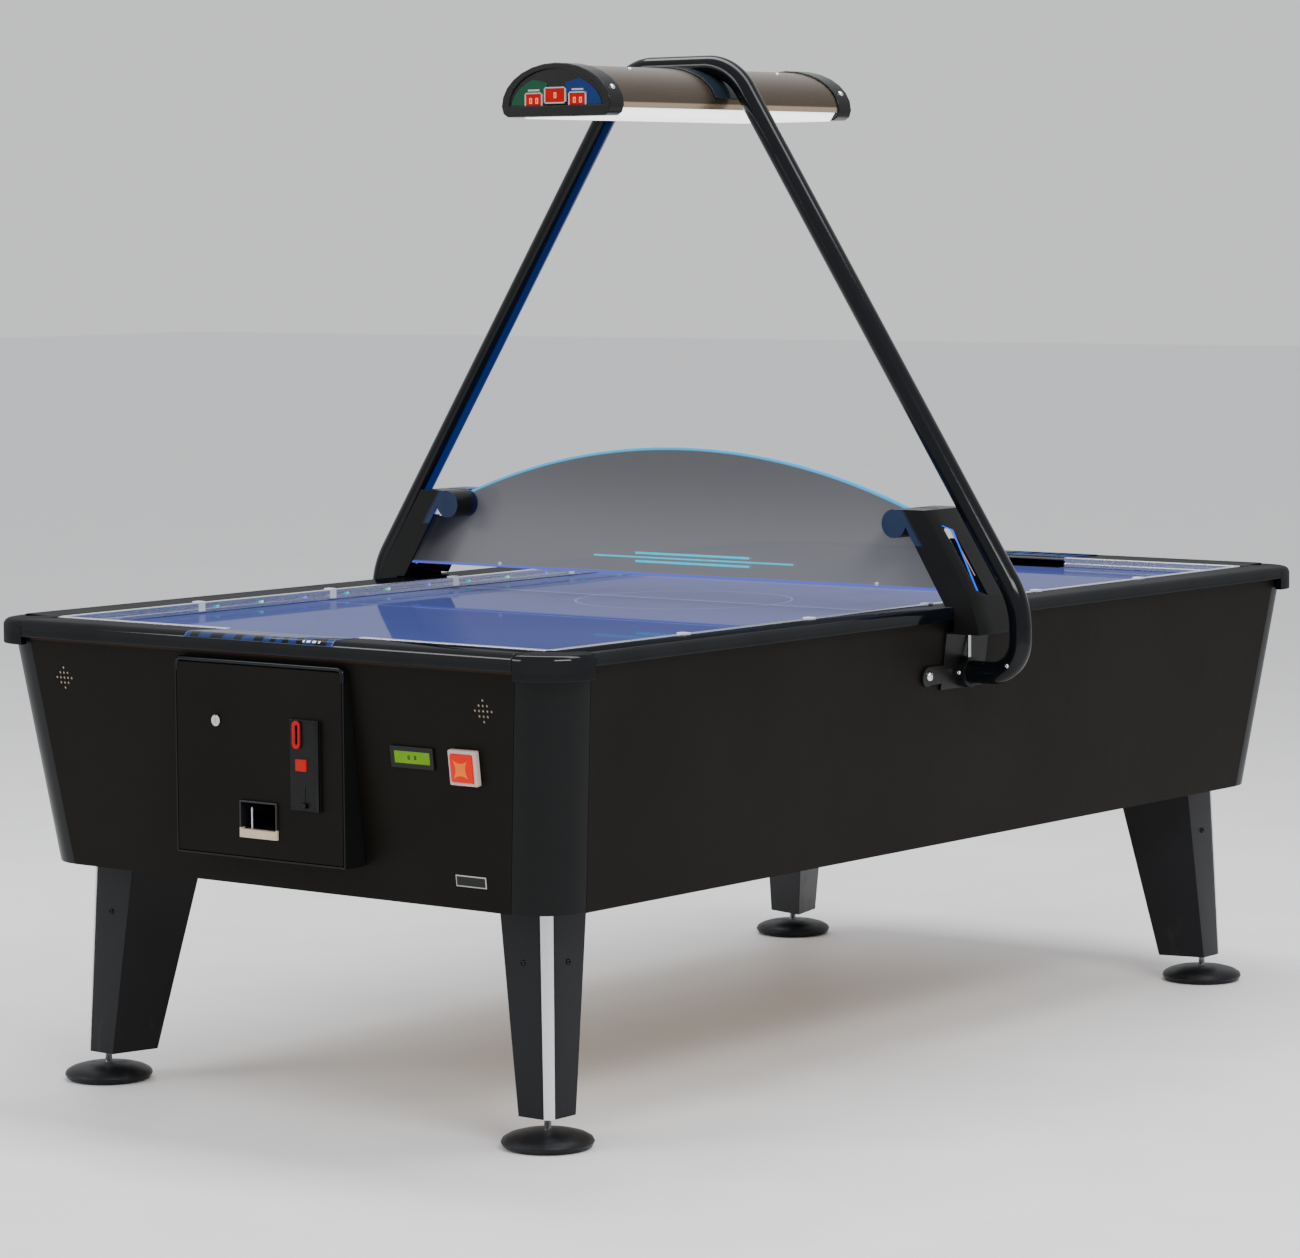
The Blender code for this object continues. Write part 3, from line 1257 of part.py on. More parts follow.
def credit_display(panel):
    """The credit display: a window in a low bezel, let into the panel."""
    place = slope_frame(DISPLAY_Y, DISPLAY_Z)
    half_y, half_z = DISPLAY_SIZE[0] / 2, DISPLAY_SIZE[1] / 2
    rim = 2 * DISPLAY_PROUD
    inner_y, inner_z = half_y - rim, half_z - rim
    bezel = box("credit_display", (GAP, -half_y, -half_z), (DISPLAY_PROUD, half_y, half_z), "screen")
    back = box("display_body", (-DISPLAY_BACK, -inner_y, -inner_z), (2 * GAP, inner_y, inner_z))
    glass = box("glass_cutter", (DISPLAY_PROUD / 2, -inner_y, -inner_z), (rim, inner_y, inner_z))
    fuse(bezel, back)
    cut(bezel, glass)
    grow = FIT / 2
    through = box(
        "display_cutter",
        (-2 * PANEL, -inner_y - grow, -inner_z - grow),
        (PANEL / 2, inner_y + grow, inner_z + grow),
    )
    for piece in (bezel, back, glass, through):
        piece.matrix_world = place
    cut(panel, through)


def rear_return(tray, panel):
    """The puck cup let into the rear panel, made in one with its chute."""
    front = end_face(RETURN_TOP) + 2 * FIT
    fuse(tray, return_cup("cup_body_rear", "rear", front))
    half = PUCK / 2 + 2 * FIT + CHUTE_WALL + GAP
    low = (0.9 * CAB_HALF_LENGTH, -half, RETURN_TOP - RETURN_HEIGHT - GAP)
    high = (HALF_LENGTH + PANEL, half, RETURN_TOP + GAP)
    cut(panel, box("rear_cup_cutter", low, high))


COLLECTIONS = {}


def main():
    clear_scene()
    panels = cabinet_panels()
    speaker_holes(panels["front"])
    hatch(panels["front"])
    start_button(panels["front"])
    credit_display(panels["front"])
    cabinet_floor()
    for end in ENDS:
        for side in SIDES:
            corner_post(end, side)
            corner_cap(end, side)
            leg(end, side)
    for side in SIDES:
        side_rail(side)
        bracket(side)
    for end in ENDS:
        end_rail(end)
    puck_tray("front")
    rear_return(puck_tray("rear"), panels["rear"])
    playfield()
    bumpers()
    air_plenum()
    blower()
    impeller()
    control_box()
    tube("arch_tube", arch_points(), TUBE_RADIUS, "tube_black")
    barrier_sheet()
    lamp()
    coin_box()
    coin_door()
    cash_box()


main()
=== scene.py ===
# %% [markdown]
# # An air hockey table
# The table stands in a bright, plain studio. Its panels, rails, legs and moving parts come from a packed
# model that already has its real sizes. This script gives them their looks: fine surfaces, rounded edges,
# trim, screws, lights and printed marks. Everything is in metres, with +Z up and the coin door facing -X.

# %% Open the packed model
import json
import math

import bmesh
import bpy
from mathutils import Matrix, Vector

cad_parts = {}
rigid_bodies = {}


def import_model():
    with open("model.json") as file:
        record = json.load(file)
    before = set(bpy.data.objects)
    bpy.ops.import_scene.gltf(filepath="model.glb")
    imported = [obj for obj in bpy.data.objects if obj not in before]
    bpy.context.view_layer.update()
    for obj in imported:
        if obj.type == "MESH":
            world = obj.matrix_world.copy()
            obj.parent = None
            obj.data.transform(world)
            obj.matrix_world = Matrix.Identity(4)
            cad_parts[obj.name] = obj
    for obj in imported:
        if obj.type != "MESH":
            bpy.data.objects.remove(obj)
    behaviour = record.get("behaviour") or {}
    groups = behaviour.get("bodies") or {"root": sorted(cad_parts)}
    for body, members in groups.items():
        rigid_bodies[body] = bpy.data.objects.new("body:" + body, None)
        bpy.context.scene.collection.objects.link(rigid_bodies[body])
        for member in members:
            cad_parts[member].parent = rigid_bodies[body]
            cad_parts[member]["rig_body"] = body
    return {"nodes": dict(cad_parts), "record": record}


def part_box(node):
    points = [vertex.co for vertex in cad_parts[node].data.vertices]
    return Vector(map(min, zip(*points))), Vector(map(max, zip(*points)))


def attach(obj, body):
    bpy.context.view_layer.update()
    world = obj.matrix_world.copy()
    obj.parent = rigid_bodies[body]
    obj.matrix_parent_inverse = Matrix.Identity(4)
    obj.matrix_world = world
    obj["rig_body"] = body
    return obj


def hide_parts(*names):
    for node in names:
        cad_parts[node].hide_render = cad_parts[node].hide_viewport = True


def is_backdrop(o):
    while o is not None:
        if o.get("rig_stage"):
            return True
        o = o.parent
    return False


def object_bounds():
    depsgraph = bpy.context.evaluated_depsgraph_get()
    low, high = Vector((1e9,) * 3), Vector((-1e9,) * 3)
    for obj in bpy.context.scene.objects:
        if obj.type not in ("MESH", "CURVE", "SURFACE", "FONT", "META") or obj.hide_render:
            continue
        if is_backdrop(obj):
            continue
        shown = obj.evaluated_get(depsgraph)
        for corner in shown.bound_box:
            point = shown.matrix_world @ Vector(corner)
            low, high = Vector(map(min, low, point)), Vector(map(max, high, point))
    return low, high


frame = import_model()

CAD_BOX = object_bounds()
scene = bpy.context.scene
SLOT = {part["node"]: part["material_slot"] for part in frame["record"]["subparts"]}
BODY = {name: node["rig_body"] for name, node in frame["nodes"].items()}
for spare in ("Cube", "Light", "Camera"):
    if spare in bpy.data.objects:
        bpy.data.objects.remove(bpy.data.objects[spare])
print("nodes:", len(SLOT), "size:", [round(side, 3) for side in CAD_BOX[1] - CAD_BOX[0]])

# %% [markdown]
# ## Sizes that the pieces share
# New pieces have to sit exactly on the packed ones, so their places are read from the boxes of the nodes
# and not typed in. Only slopes and bends, which a box can't tell, are repeated here as values.

# %% Read the main places
FIELD_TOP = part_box("playfield")[1].z
RAIL_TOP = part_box("side_rail_near")[1].z
HALF_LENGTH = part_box("end_rail_front")[0].x * -1
HALF_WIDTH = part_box("side_rail_near")[0].y * -1
DOOR_LOW, DOOR_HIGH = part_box("coin_door")
DOOR_X = DOOR_LOW.x
LAMP_LOW, LAMP_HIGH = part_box("lamp_body")
FACE_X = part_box("lamp_cap_rear")[1].x
END_LEAN = 0.120
SIDE_LEAN = 0.132
OVERHANG = 0.0145
SIDES = {"near": -1, "far": 1}
ENDS = {"front": -1, "rear": 1}


def end_face(z):
    """Half length of the cabinet's outside at a height."""
    return HALF_LENGTH - OVERHANG - END_LEAN * (FIELD_TOP - z)


def side_face(z):
    """Half width of the cabinet's outside at a height."""
    return HALF_WIDTH - OVERHANG - SIDE_LEAN * (FIELD_TOP - z)


print("playfield", round(FIELD_TOP, 4), "rail", round(RAIL_TOP, 4), "door at", round(DOOR_X, 4))

# %% [markdown]
# ## Camera
# The camera stands off the corner of the table at a standing person's eye height and looks along it with
# a long lens, so the long side runs away to the right and the end with the coin door shows at the left.

# %% Place the camera
EYE = Vector((-6.5359, -5.0994, 1.4852))
YAW, PITCH, ROLL = 0.67012, -0.08952, -0.006785
LENS = 124.89

forward = Vector((math.cos(PITCH) * math.cos(YAW), math.cos(PITCH) * math.sin(YAW), math.sin(PITCH)))
level = Vector((math.sin(YAW), -math.cos(YAW), 0.0))
upright = level.cross(forward)
right = math.cos(ROLL) * level + math.sin(ROLL) * upright
above = math.cos(ROLL) * upright - math.sin(ROLL) * level
lens = bpy.data.cameras.new("camera")
lens.lens = LENS
lens.sensor_width = 36.0
lens.sensor_fit = "HORIZONTAL"
lens.clip_end = 200.0
camera = bpy.data.objects.new("camera", lens)
camera.matrix_world = Matrix.Translation(EYE) @ Matrix((right, above, -forward)).transposed().to_4x4()
scene.collection.objects.link(camera)
scene.camera = camera
print("camera", round(EYE.length, 2), "m away, lens", LENS, "mm")

# %% [markdown]
# ## Sums on sockets
# A material is a small network of nodes. Written as Python sums it reads like the idea behind it, such
# as `1 - mask`. One class wraps a socket and turns each sum into a Math node. A second class holds a
# material and has the one way used here to add any other node.

# %% Wrap a socket
class Wire:
    """A socket of a material. A sum of wires and numbers adds the Math node that works it out."""

    def __init__(self, paint, socket):
        self.paint = paint
        self.socket = socket

    def do(self, operation, *others):
        sockets = dict(enumerate((self, *others)))
        return self.paint.add("ShaderNodeMath", {"operation": operation}, sockets)

    def __add__(self, other):
        return self.do("ADD", other)

    def __sub__(self, other):
        return self.do("SUBTRACT", other)

    def __rsub__(self, other):
        return self.do("MULTIPLY", -1.0) + other

    def __mul__(self, other):
        return self.do("MULTIPLY", other)

    def __truediv__(self, other):
        return self.do("DIVIDE", other)

    def __lt__(self, other):
        return self.do("LESS_THAN", other)

    def __gt__(self, other):
        return self.do("GREATER_THAN", other)

    def __abs__(self):
        return self.do("ABSOLUTE")

    __radd__ = __add__
    __rmul__ = __mul__


print("a wire knows", len([name for name in vars(Wire) if name.startswith("__")]), "operators and more")


# %% Wrap a material
class Paint:
    """A material with a Principled shader. Constants go straight onto the shader's own sockets."""

    def __init__(self, name, **constants):
        self.material = bpy.data.materials.new(name)
        self.material.use_nodes = True
        self.tree = self.material.node_tree
        self.shader = self.tree.nodes["Principled BSDF"]
        for socket, value in constants.items():
            self.join(self.shader.inputs[socket.replace("_", " ")], value)

    def join(self, socket, value):
        if isinstance(value, Wire):
            self.tree.links.new(value.socket, socket)
        else:
            socket.default_value = value

    def add(self, kind, settings=None, sockets=None, output=0):
        node = self.tree.nodes.new(kind)
        for name, value in (settings or {}).items():
            setattr(node, name, value)
        for name, value in (sockets or {}).items():
            self.join(node.inputs[name], value)
        return Wire(self, node.outputs[output])

    def place(self, stretch=(1.0, 1.0, 1.0)):
        """Where a point of the surface is, in metres, each axis stretched by a number."""
        place = self.add("ShaderNodeTexCoord", output=3)
        return self.add("ShaderNodeMapping", None, {"Vector": place, "Scale": stretch})

    def axis(self, number):
        return self.add("ShaderNodeSeparateXYZ", None, {0: self.place()}, number)

    def noise(self, scale, detail=2.0, stretch=(1.0, 1.0, 1.0)):
        sockets = {"Vector": self.place(stretch), "Scale": scale, "Detail": detail}
        return self.add("ShaderNodeTexNoise", None, sockets)

    def cells(self, scale, output=0):
        return self.add("ShaderNodeTexVoronoi", None, {"Vector": self.place(), "Scale": scale}, output)

    def ease(self, wire, low, high):
        """0 below the low value, 1 above the high one, and a smooth step between."""
        sockets = {"Value": wire, "From Min": low, "From Max": high}
        return self.add("ShaderNodeMapRange", {"interpolation_type": "SMOOTHSTEP"}, sockets)

    def mix(self, mask, first, second):
        return self.add("ShaderNodeMix", {"data_type": "RGBA"}, {0: mask, 6: first, 7: second}, 2)

    def finish(self, height=None, strength=0.2, depth=0.0005, **wires):
        """Joins what changes over the surface to the shader, and a height to its bumps."""
        for socket, value in wires.items():
            self.join(self.shader.inputs[socket.replace("_", " ")], value)
        if height is not None:
            sockets = {"Strength": strength, "Distance": depth, "Height": height}
            self.join(self.shader.inputs["Normal"], self.add("ShaderNodeBump", None, sockets))
        return self.material


def shade(colour, factor=1.0):
    """A colour as the four numbers that a socket takes, made lighter or darker."""
    return tuple(part * factor for part in colour) + (1.0,)


print("wires and paints are ready")

# %% [markdown]
# ## A plain surface that isn't plain
# Paint and moulded plastic look flat from afar, but up close they have a fine grain, slow changes of tone
# and patches where hands have polished them. Most finishes on this table differ only in how much of each
# they have, so one function makes them all and the odd ones are built on their own.

# %% The common surface
FINISH = {}


def surface(slot, colour, rough, spread=0.12, grain=900.0, bump=0.10, smudge=0.06, **constants):
    paint = Paint(slot, **constants)
    fine = paint.noise(grain, 3.0)
    slow = paint.ease(paint.noise(5.0, 4.0), 0.35, 0.65)
    tone = paint.mix(slow, shade(colour, 1 - spread), shade(colour, 1 + spread))
    worn = rough + (slow - 0.5) * smudge + (fine - 0.5) * smudge
    FINISH[slot] = paint.finish(fine, bump, Base_Color=tone, Roughness=worn)
    return FINISH[slot]


DIM = {"Specular_IOR_Level": 0.12}
WARM = {"Emission_Color": (1.0, 0.018, 0.003, 1.0), "Emission_Strength": 0.55}
DULL_RED = {"Emission_Color": (1.0, 0.015, 0.008, 1.0), "Emission_Strength": 0.12}
DAYLIGHT = {"Emission_Color": (1.0, 0.99, 0.97, 1.0), "Emission_Strength": 2.0}
surface("post", (0.0050, 0.0054, 0.0056), 0.36, bump=0.08, **DIM)
surface("lamp_cap", (0.0040, 0.0040, 0.0044), 0.24, grain=1400.0, Specular_IOR_Level=0.25)
surface("white", (0.50, 0.40, 0.36), 0.30, spread=0.05, **DIM)
surface("enclosure", (0.030, 0.032, 0.034), 0.45)
surface("red", (0.30, 0.006, 0.002), 0.25, spread=0.25, Specular_IOR_Level=0.1, **WARM)
surface("reject_red", (0.34, 0.010, 0.008), 0.25, Specular_IOR_Level=0.1, **DULL_RED)
surface("diffuser", (0.90, 0.91, 0.92), 0.45, spread=0.02, **DAYLIGHT)
print("plain surfaces:", sorted(FINISH))

# %% [markdown]
# ## Laminate on the cabinet
# The cabinet is board covered with a dark plastic laminate. Its face is pressed with a fine pebble, so
# it doesn't show finger marks. A cell pattern makes the pebbles, and a stretched noise adds the faint
# upright streaks that the press leaves. A thin lighter brown band under the end rails is a painted
# reflection.

# %% Laminate
def laminate():
    paint = Paint("laminate", Specular_IOR_Level=0.07)
    pebble = paint.cells(1500.0)
    fleck = paint.noise(2600.0, 2.0)
    streak = paint.noise(60.0, 3.0, (1.0, 1.0, 0.12))
    slow = paint.ease(paint.noise(3.0, 4.0), 0.30, 0.70)
    cloud = slow * 0.6 + streak * 0.4
    tone = paint.mix(cloud, (0.0044, 0.0036, 0.0026, 1.0), (0.0072, 0.0060, 0.0043, 1.0))
    tone = paint.mix(paint.ease(fleck, 0.60, 0.72) * 0.35, tone, (0.022, 0.019, 0.015, 1.0))
    # Painted reflection: a thin lighter brown band on the end panels just under the end rails.
    high = paint.ease(paint.axis(2), FIELD_TOP - 0.017, FIELD_TOP - 0.014)
    reflection_band = high * (abs(paint.axis(0)) > HALF_LENGTH - 0.04)
    tone = paint.mix(reflection_band, tone, (0.030, 0.017, 0.011, 1.0))
    rough = 0.50 + (streak - 0.5) * 0.10 + (pebble - 0.4) * 0.10
    return paint.finish(pebble + fleck * 0.5, 0.22, 0.0004, Base_Color=tone, Roughness=rough)


FINISH["laminate"] = laminate()
print("laminate has", len(FINISH["laminate"].node_tree.nodes), "nodes")

# %% [markdown]
# ## Gloss black mouldings, tube and sheet metal
# The rails and corner caps are glossy plastic with a very slight ripple in the shine. The arch is steel
# tube with gloss paint, and a faint blue glow is painted along the inner side of the far tube as a
# reflection of the hood light. The hoods are folded sheet with a satin powder coat, which has an
# orange-peel surface.
# The blue light inside the hoods that falls on their inner wall is painted on as a faint glow of that
# face, and the ends of their rolled tops get a dim painted blue glow too.

# %% Gloss black
def gloss(slot, rough, shine):
    paint = Paint(slot, Specular_IOR_Level=0.0, Coat_Roughness=0.06)
    facing = paint.add("ShaderNodeLayerWeight", None, {"Blend": 0.5}, 1)
    ripple = paint.noise(55.0, 2.0)
    dust = paint.ease(paint.noise(900.0, 3.0), 0.66, 0.74)
    hand = paint.ease(paint.noise(9.0, 5.0), 0.40, 0.75)
    tone = paint.mix(dust * 0.5, (0.0022, 0.0030, 0.0042, 1.0), (0.018, 0.019, 0.021, 1.0))
    worn = rough + hand * 0.07
    coat = (1 - facing * 0.85) * (shine - hand * 0.1)
    return paint.finish(ripple, 0.05, 0.0010, Base_Color=tone, Roughness=worn, Coat_Weight=coat)


FINISH["rail"] = gloss("rail", 0.30, 0.75)
FINISH["gloss_black"] = gloss("gloss_black", 0.30, 0.60)
# Dark slate for the painted reflection of the arch tube on the lamp shell.
surface("strap_slate", (0.010, 0.016, 0.024), 0.20, Specular_IOR_Level=0.3)


# %% Read the arch's bends
ARCH_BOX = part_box("arch_tube")
TUBE_RADIUS = 0.020
ARCH_TOP_Z = ARCH_BOX[1].z - TUBE_RADIUS
ARCH_OUT = ARCH_BOX[1].y - TUBE_RADIUS
ARCH_LOW_Z = ARCH_BOX[0].z + TUBE_RADIUS
ARCH_TOP_HALF = 0.119
ARCH_KNEE_Z = FIELD_TOP + 0.027
ARCH_SLOPE = (ARCH_OUT - ARCH_TOP_HALF) / (ARCH_TOP_Z - ARCH_KNEE_Z)
HOOD_CLEAR = 0.045
HOOD_SKEW = math.hypot(1.0, ARCH_SLOPE)
print("arch slope", round(ARCH_SLOPE, 3))


# %% Tube paint
def tube_paint():
    paint = Paint("tube_black", Specular_IOR_Level=0.20, Emission_Strength=1.0)
    across, up = paint.axis(1), paint.axis(2)
    ripple = paint.noise(40.0, 2.0)
    # Painted reflection: a faint blue glow along the inner side of the far tube, the hood light seen in
    # its gloss.
    off = across + (up - ARCH_KNEE_Z) * ARCH_SLOPE - ARCH_OUT
    strip = (1 - paint.ease(off, -0.0200, -0.0170)) * (across > 0.0)
    strip = strip * (1 - paint.ease(up, ARCH_TOP_Z - 0.11, ARCH_TOP_Z - 0.08))
    strip = strip * paint.ease(up, ARCH_KNEE_Z + 0.03, ARCH_KNEE_Z + 0.09)
    glow = paint.mix(strip * (1.4 - up * 0.6), (0.0, 0.0, 0.0, 1.0), (0.003, 0.022, 0.170, 1.0))
    tone = paint.mix(ripple, (0.0022, 0.0030, 0.0040, 1.0), (0.0034, 0.0044, 0.0060, 1.0))
    rough = 0.10 + ripple * 0.04
    return paint.finish(ripple, 0.04, 0.0010, Base_Color=tone, Roughness=rough, Emission_Color=glow)


FINISH["tube_black"] = tube_paint()


# %% Powder-coated sheet
def powder_coat():
    paint = Paint("sheet_black", Specular_IOR_Level=0.16, Emission_Strength=1.0)
    peel = paint.noise(700.0, 2.0)
    slow = paint.noise(8.0, 3.0)
    tone = paint.mix(slow, (0.0044, 0.0046, 0.0048, 1.0), (0.0072, 0.0072, 0.0072, 1.0))
    along, across, up = paint.axis(0), paint.axis(1), paint.axis(2)
    # Painted light: the blue light inside the hood that falls on its inner wall is painted on as a faint
    # glow.
    depth = ARCH_OUT - (up - ARCH_KNEE_Z) * ARCH_SLOPE - HOOD_CLEAR * HOOD_SKEW - abs(across)
    inside = (depth > 0.0030) * (across > 0.0) * (abs(along) < 0.0640)
    lit = inside * paint.ease(along, -0.03, 0.05) * paint.ease(up, 0.82, 0.96) * (0.6 + slow * 0.8)
    glow = paint.mix(lit, (0.0, 0.0, 0.0, 1.0), (0.006, 0.030, 0.220, 1.0))
    # Painted light: the ends of the rolled top get a dim blue glow.
    disc = (abs(along) > 0.0640) * paint.ease(depth, 0.040, 0.052) * (up > 0.92)
    glow = paint.mix(disc * (0.5 + slow), glow, (0.014, 0.032, 0.085, 1.0))
    rough = 0.34 + (peel - 0.5) * 0.12
    return paint.finish(peel, 0.16, 0.0005, Base_Color=tone, Roughness=rough, Emission_Color=glow)


FINISH["sheet_black"] = powder_coat()
print("black finishes:", "rail", "gloss_black", "tube_black", "sheet_black")

# %% [markdown]
# ## The playing surface
# The playfield is a sheet of glossy plastic with a small air hole every 25 mm. The holes are drawn by
# arithmetic on the position: the fraction left after dividing by the pitch tells how far a point is from
# the middle of its cell. Printed lines come from the same position.

# %% Playfield
HOLE_PITCH = 0.0254
HOLE_RADIUS = 0.0009
LINE_HALF = 0.004
CIRCLE_RADIUS = 0.200


def playing_surface():
    paint = Paint("field", Specular_IOR_Level=0.0, Coat_Roughness=0.03)
    along, across = paint.axis(0), paint.axis(1)
    off_x = (along / HOLE_PITCH).do("FRACT") - 0.5
    off_y = (across / HOLE_PITCH).do("FRACT") - 0.5
    far = (off_x * off_x + off_y * off_y).do("SQRT")
    hole = far < HOLE_RADIUS / HOLE_PITCH
    centre = (along * along + across * across).do("SQRT")
    ring = abs(centre - CIRCLE_RADIUS) < LINE_HALF / 2
    stripe = (abs(abs(along) - 2 * CIRCLE_RADIUS) < LINE_HALF / 2) + (abs(along) < LINE_HALF)
    line = (ring + stripe).do("MINIMUM", 1.0)
    slow = paint.noise(2.5, 3.0)
    tone = paint.mix(slow, (0.030, 0.042, 0.150, 1.0), (0.046, 0.058, 0.190, 1.0))
    tone = paint.mix(line * 0.5, tone, (0.20, 0.24, 0.50, 1.0))
    tone = paint.mix(hole, tone, (0.010, 0.010, 0.016, 1.0))
    scuff = paint.ease(paint.noise(14.0, 6.0, (0.3, 1.0, 1.0)), 0.50, 0.80)
    facing = paint.add("ShaderNodeLayerWeight", None, {"Blend": 0.5}, 1)
    coat = (1 - facing * 0.76) * (1 - scuff * 0.15)
    rough = 0.25 + scuff * 0.10
    return paint.finish(1 - hole, 0.5, 0.0006, Base_Color=tone, Roughness=rough, Coat_Weight=coat)


FINISH["field"] = playing_surface()
print("air holes:", int(2 * HALF_LENGTH / HOLE_PITCH) * int(2 * HALF_WIDTH / HOLE_PITCH))

# %% [markdown]
# ## Bare metals
# The bumpers and the legs' edge strips are drawn aluminium: fine lines run along them, so the noise is
# stretched the long way. The inside pieces are galvanised sheet, whose zinc crystals make large flat
# flakes of different grey. Screws and the lock are bright chrome.

# %% Metals
def drawn_metal(slot, colour, rough, stretch):
    paint = Paint(slot, Metallic=1.0)
    lines = paint.noise(900.0, 3.0, stretch)
    slow = paint.noise(6.0, 3.0)
    tone = paint.mix(lines * 0.5 + slow * 0.5, shade(colour, 0.78), shade(colour, 1.0))
    return paint.finish(lines, 0.08, 0.0003, Base_Color=tone, Roughness=rough + (lines - 0.5) * 0.20)


def galvanised():
    paint = Paint("zinc", Metallic=1.0)
    flake = paint.add("ShaderNodeSeparateColor", None, {0: paint.cells(90.0, 1)})
    fine = paint.noise(800.0, 2.0)
    tone = paint.mix(flake, (0.36, 0.37, 0.38, 1.0), (0.60, 0.61, 0.62, 1.0))
    return paint.finish(fine + flake, 0.06, 0.0003, Base_Color=tone, Roughness=0.30 + flake * 0.22)


FINISH["aluminium"] = drawn_metal("aluminium", (0.80, 0.82, 0.88), 0.26, (0.02, 1.0, 1.0))
FINISH["edge_strip"] = drawn_metal("edge_strip", (0.76, 0.76, 0.78), 0.28, (1.0, 1.0, 0.02))
FINISH["chrome"] = drawn_metal("chrome", (0.86, 0.86, 0.87), 0.10, (1.0, 1.0, 1.0))
FINISH["zinc"] = galvanised()
print("metals:", "aluminium", "edge_strip", "chrome", "zinc")


# %% [markdown]
# ## Legs, feet and plywood
# The legs are painted board, scuffed near the floor by shoes and brooms. Each foot is a black plastic
# dome on a plated stem, and one material makes both: it turns to metal where the foot is as thin as its
# stem. The inside boxes are bare plywood with long grain.

# %% Painted legs
def leg_paint():
    paint = Paint("leg", Specular_IOR_Level=0.18)
    fine = paint.noise(1100.0, 3.0)
    slow = paint.noise(7.0, 3.0)
    low = 1 - paint.ease(paint.axis(2), 0.05, 0.16)
    scuff = paint.ease(paint.noise(70.0, 5.0, (1.0, 1.0, 0.25)), 0.56, 0.70) * low
    tone = paint.mix(slow, (0.0052, 0.0056, 0.0070, 1.0), (0.0084, 0.0090, 0.0112, 1.0))
    tone = paint.mix(scuff * 0.3, tone, (0.05, 0.048, 0.046, 1.0))
    rough = 0.34 + (slow - 0.5) * 0.16 + scuff * 0.25
    return paint.finish(fine, 0.10, 0.0004, Base_Color=tone, Roughness=rough)


# %% Feet
DOME_TOP = 0.0295


def foot_plastic():
    paint = Paint("foot", Specular_IOR_Level=0.2)
    stem = paint.axis(2) > DOME_TOP
    fine = paint.noise(1300.0, 2.0)
    thread = (paint.axis(2) * 700.0).do("FRACT") * stem
    grime = paint.ease(paint.noise(40.0, 5.0), 0.45, 0.75)
    tone = paint.mix(grime, (0.006, 0.007, 0.009, 1.0), (0.014, 0.015, 0.017, 1.0))
    tone = paint.mix(stem, tone, (0.70, 0.70, 0.70, 1.0))
    rough = 0.42 + grime * 0.12 - stem * 0.24
    return paint.finish(thread + fine * 0.2, 0.4, 0.0007, Base_Color=tone, Roughness=rough, Metallic=stem)


# %% Plywood
def plywood():
    paint = Paint("plywood")
    grain = paint.noise(120.0, 6.0, (0.05, 1.0, 1.0))
    pore = paint.noise(900.0, 2.0, (0.06, 1.0, 1.0))
    slow = paint.noise(4.0, 3.0)
    tone = paint.mix(grain * 0.7 + slow * 0.3, (0.30, 0.20, 0.11, 1.0), (0.52, 0.39, 0.25, 1.0))
    return paint.finish(grain + pore, 0.2, 0.0005, Base_Color=tone, Roughness=0.62 + (pore - 0.5) * 0.2)


FINISH["leg"] = leg_paint()
FINISH["foot"] = foot_plastic()
FINISH["plywood"] = plywood()
print("legs, feet and plywood are painted")

# %% [markdown]
# ## The clear barrier
# A smoky acrylic sheet stands across the table. Light fed in at its foot leaves at the cut edges, which
# shine cyan along the arc on top and violet along the bottom. The top edge is an arc, so its distance
# from a point is a circle sum. A few engraved lines catch the same light.

# %% Acrylic
SHEET_LOW, SHEET_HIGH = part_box("barrier_sheet")
ARC_HALF = 0.517
ARC_SAGITTA = 0.097
ARC_RADIUS = (ARC_HALF**2 + ARC_SAGITTA**2) / (2 * ARC_SAGITTA)
EDGE_GLOW = 0.0060


def acrylic():
    paint = Paint("acrylic", Emission_Strength=1.0, Specular_IOR_Level=0.1)
    across, up = paint.axis(1), paint.axis(2)
    fall = up - (SHEET_HIGH.z - ARC_RADIUS)
    reach = (across * across + fall * fall).do("SQRT")
    top = paint.ease(reach, ARC_RADIUS - EDGE_GLOW, ARC_RADIUS - EDGE_GLOW / 2)
    foot = 1 - paint.ease(up, SHEET_LOW.z + EDGE_GLOW / 2, SHEET_LOW.z + EDGE_GLOW)
    # Lighter grey at the foot of the sheet and darker towards its top.
    foot_to_top = paint.ease(up, SHEET_LOW.z, SHEET_HIGH.z)
    dust = paint.noise(400.0, 4.0)
    tone = paint.mix(foot_to_top, (0.260, 0.260, 0.262, 1.0), (0.125, 0.125, 0.127, 1.0))
    tone = paint.mix(paint.ease(dust, 0.62, 0.75) * 0.2, tone, (0.30, 0.30, 0.30, 1.0))
    tone = paint.mix((top + foot).do("MINIMUM", 1.0), tone, (0.02, 0.05, 0.08, 1.0))
    glow = paint.mix(top, (0.0, 0.0, 0.0, 1.0), (0.01, 0.52, 1.0, 1.0))
    glow = paint.mix(foot, glow, (0.10, 0.12, 0.75, 1.0))
    solid = (0.86 + top + foot).do("MINIMUM", 1.0)
    rough = 0.22 + (dust - 0.5) * 0.1
    wires = {"Base_Color": tone, "Roughness": rough, "Alpha": solid, "Emission_Color": glow}
    return paint.finish(dust, 0.03, 0.0003, **wires)


FINISH["acrylic"] = acrylic()
print("barrier arc radius", round(ARC_RADIUS, 3), "m")

# %% [markdown]
# ## Lamp shell, display glass and the puck cup
# The lamp's shell is bronze-coloured anodised metal with lines drawn along it, lighter on its folded lip.
# Its upper part is painted lighter, a painted highlight of the light falling on its top.
# The credit display glows green behind its black bezel. The puck cup is cream on the lip that a hand
# touches and near black everywhere else.

# %% Bronze
CROWN_Z = LAMP_LOW.z + 0.005


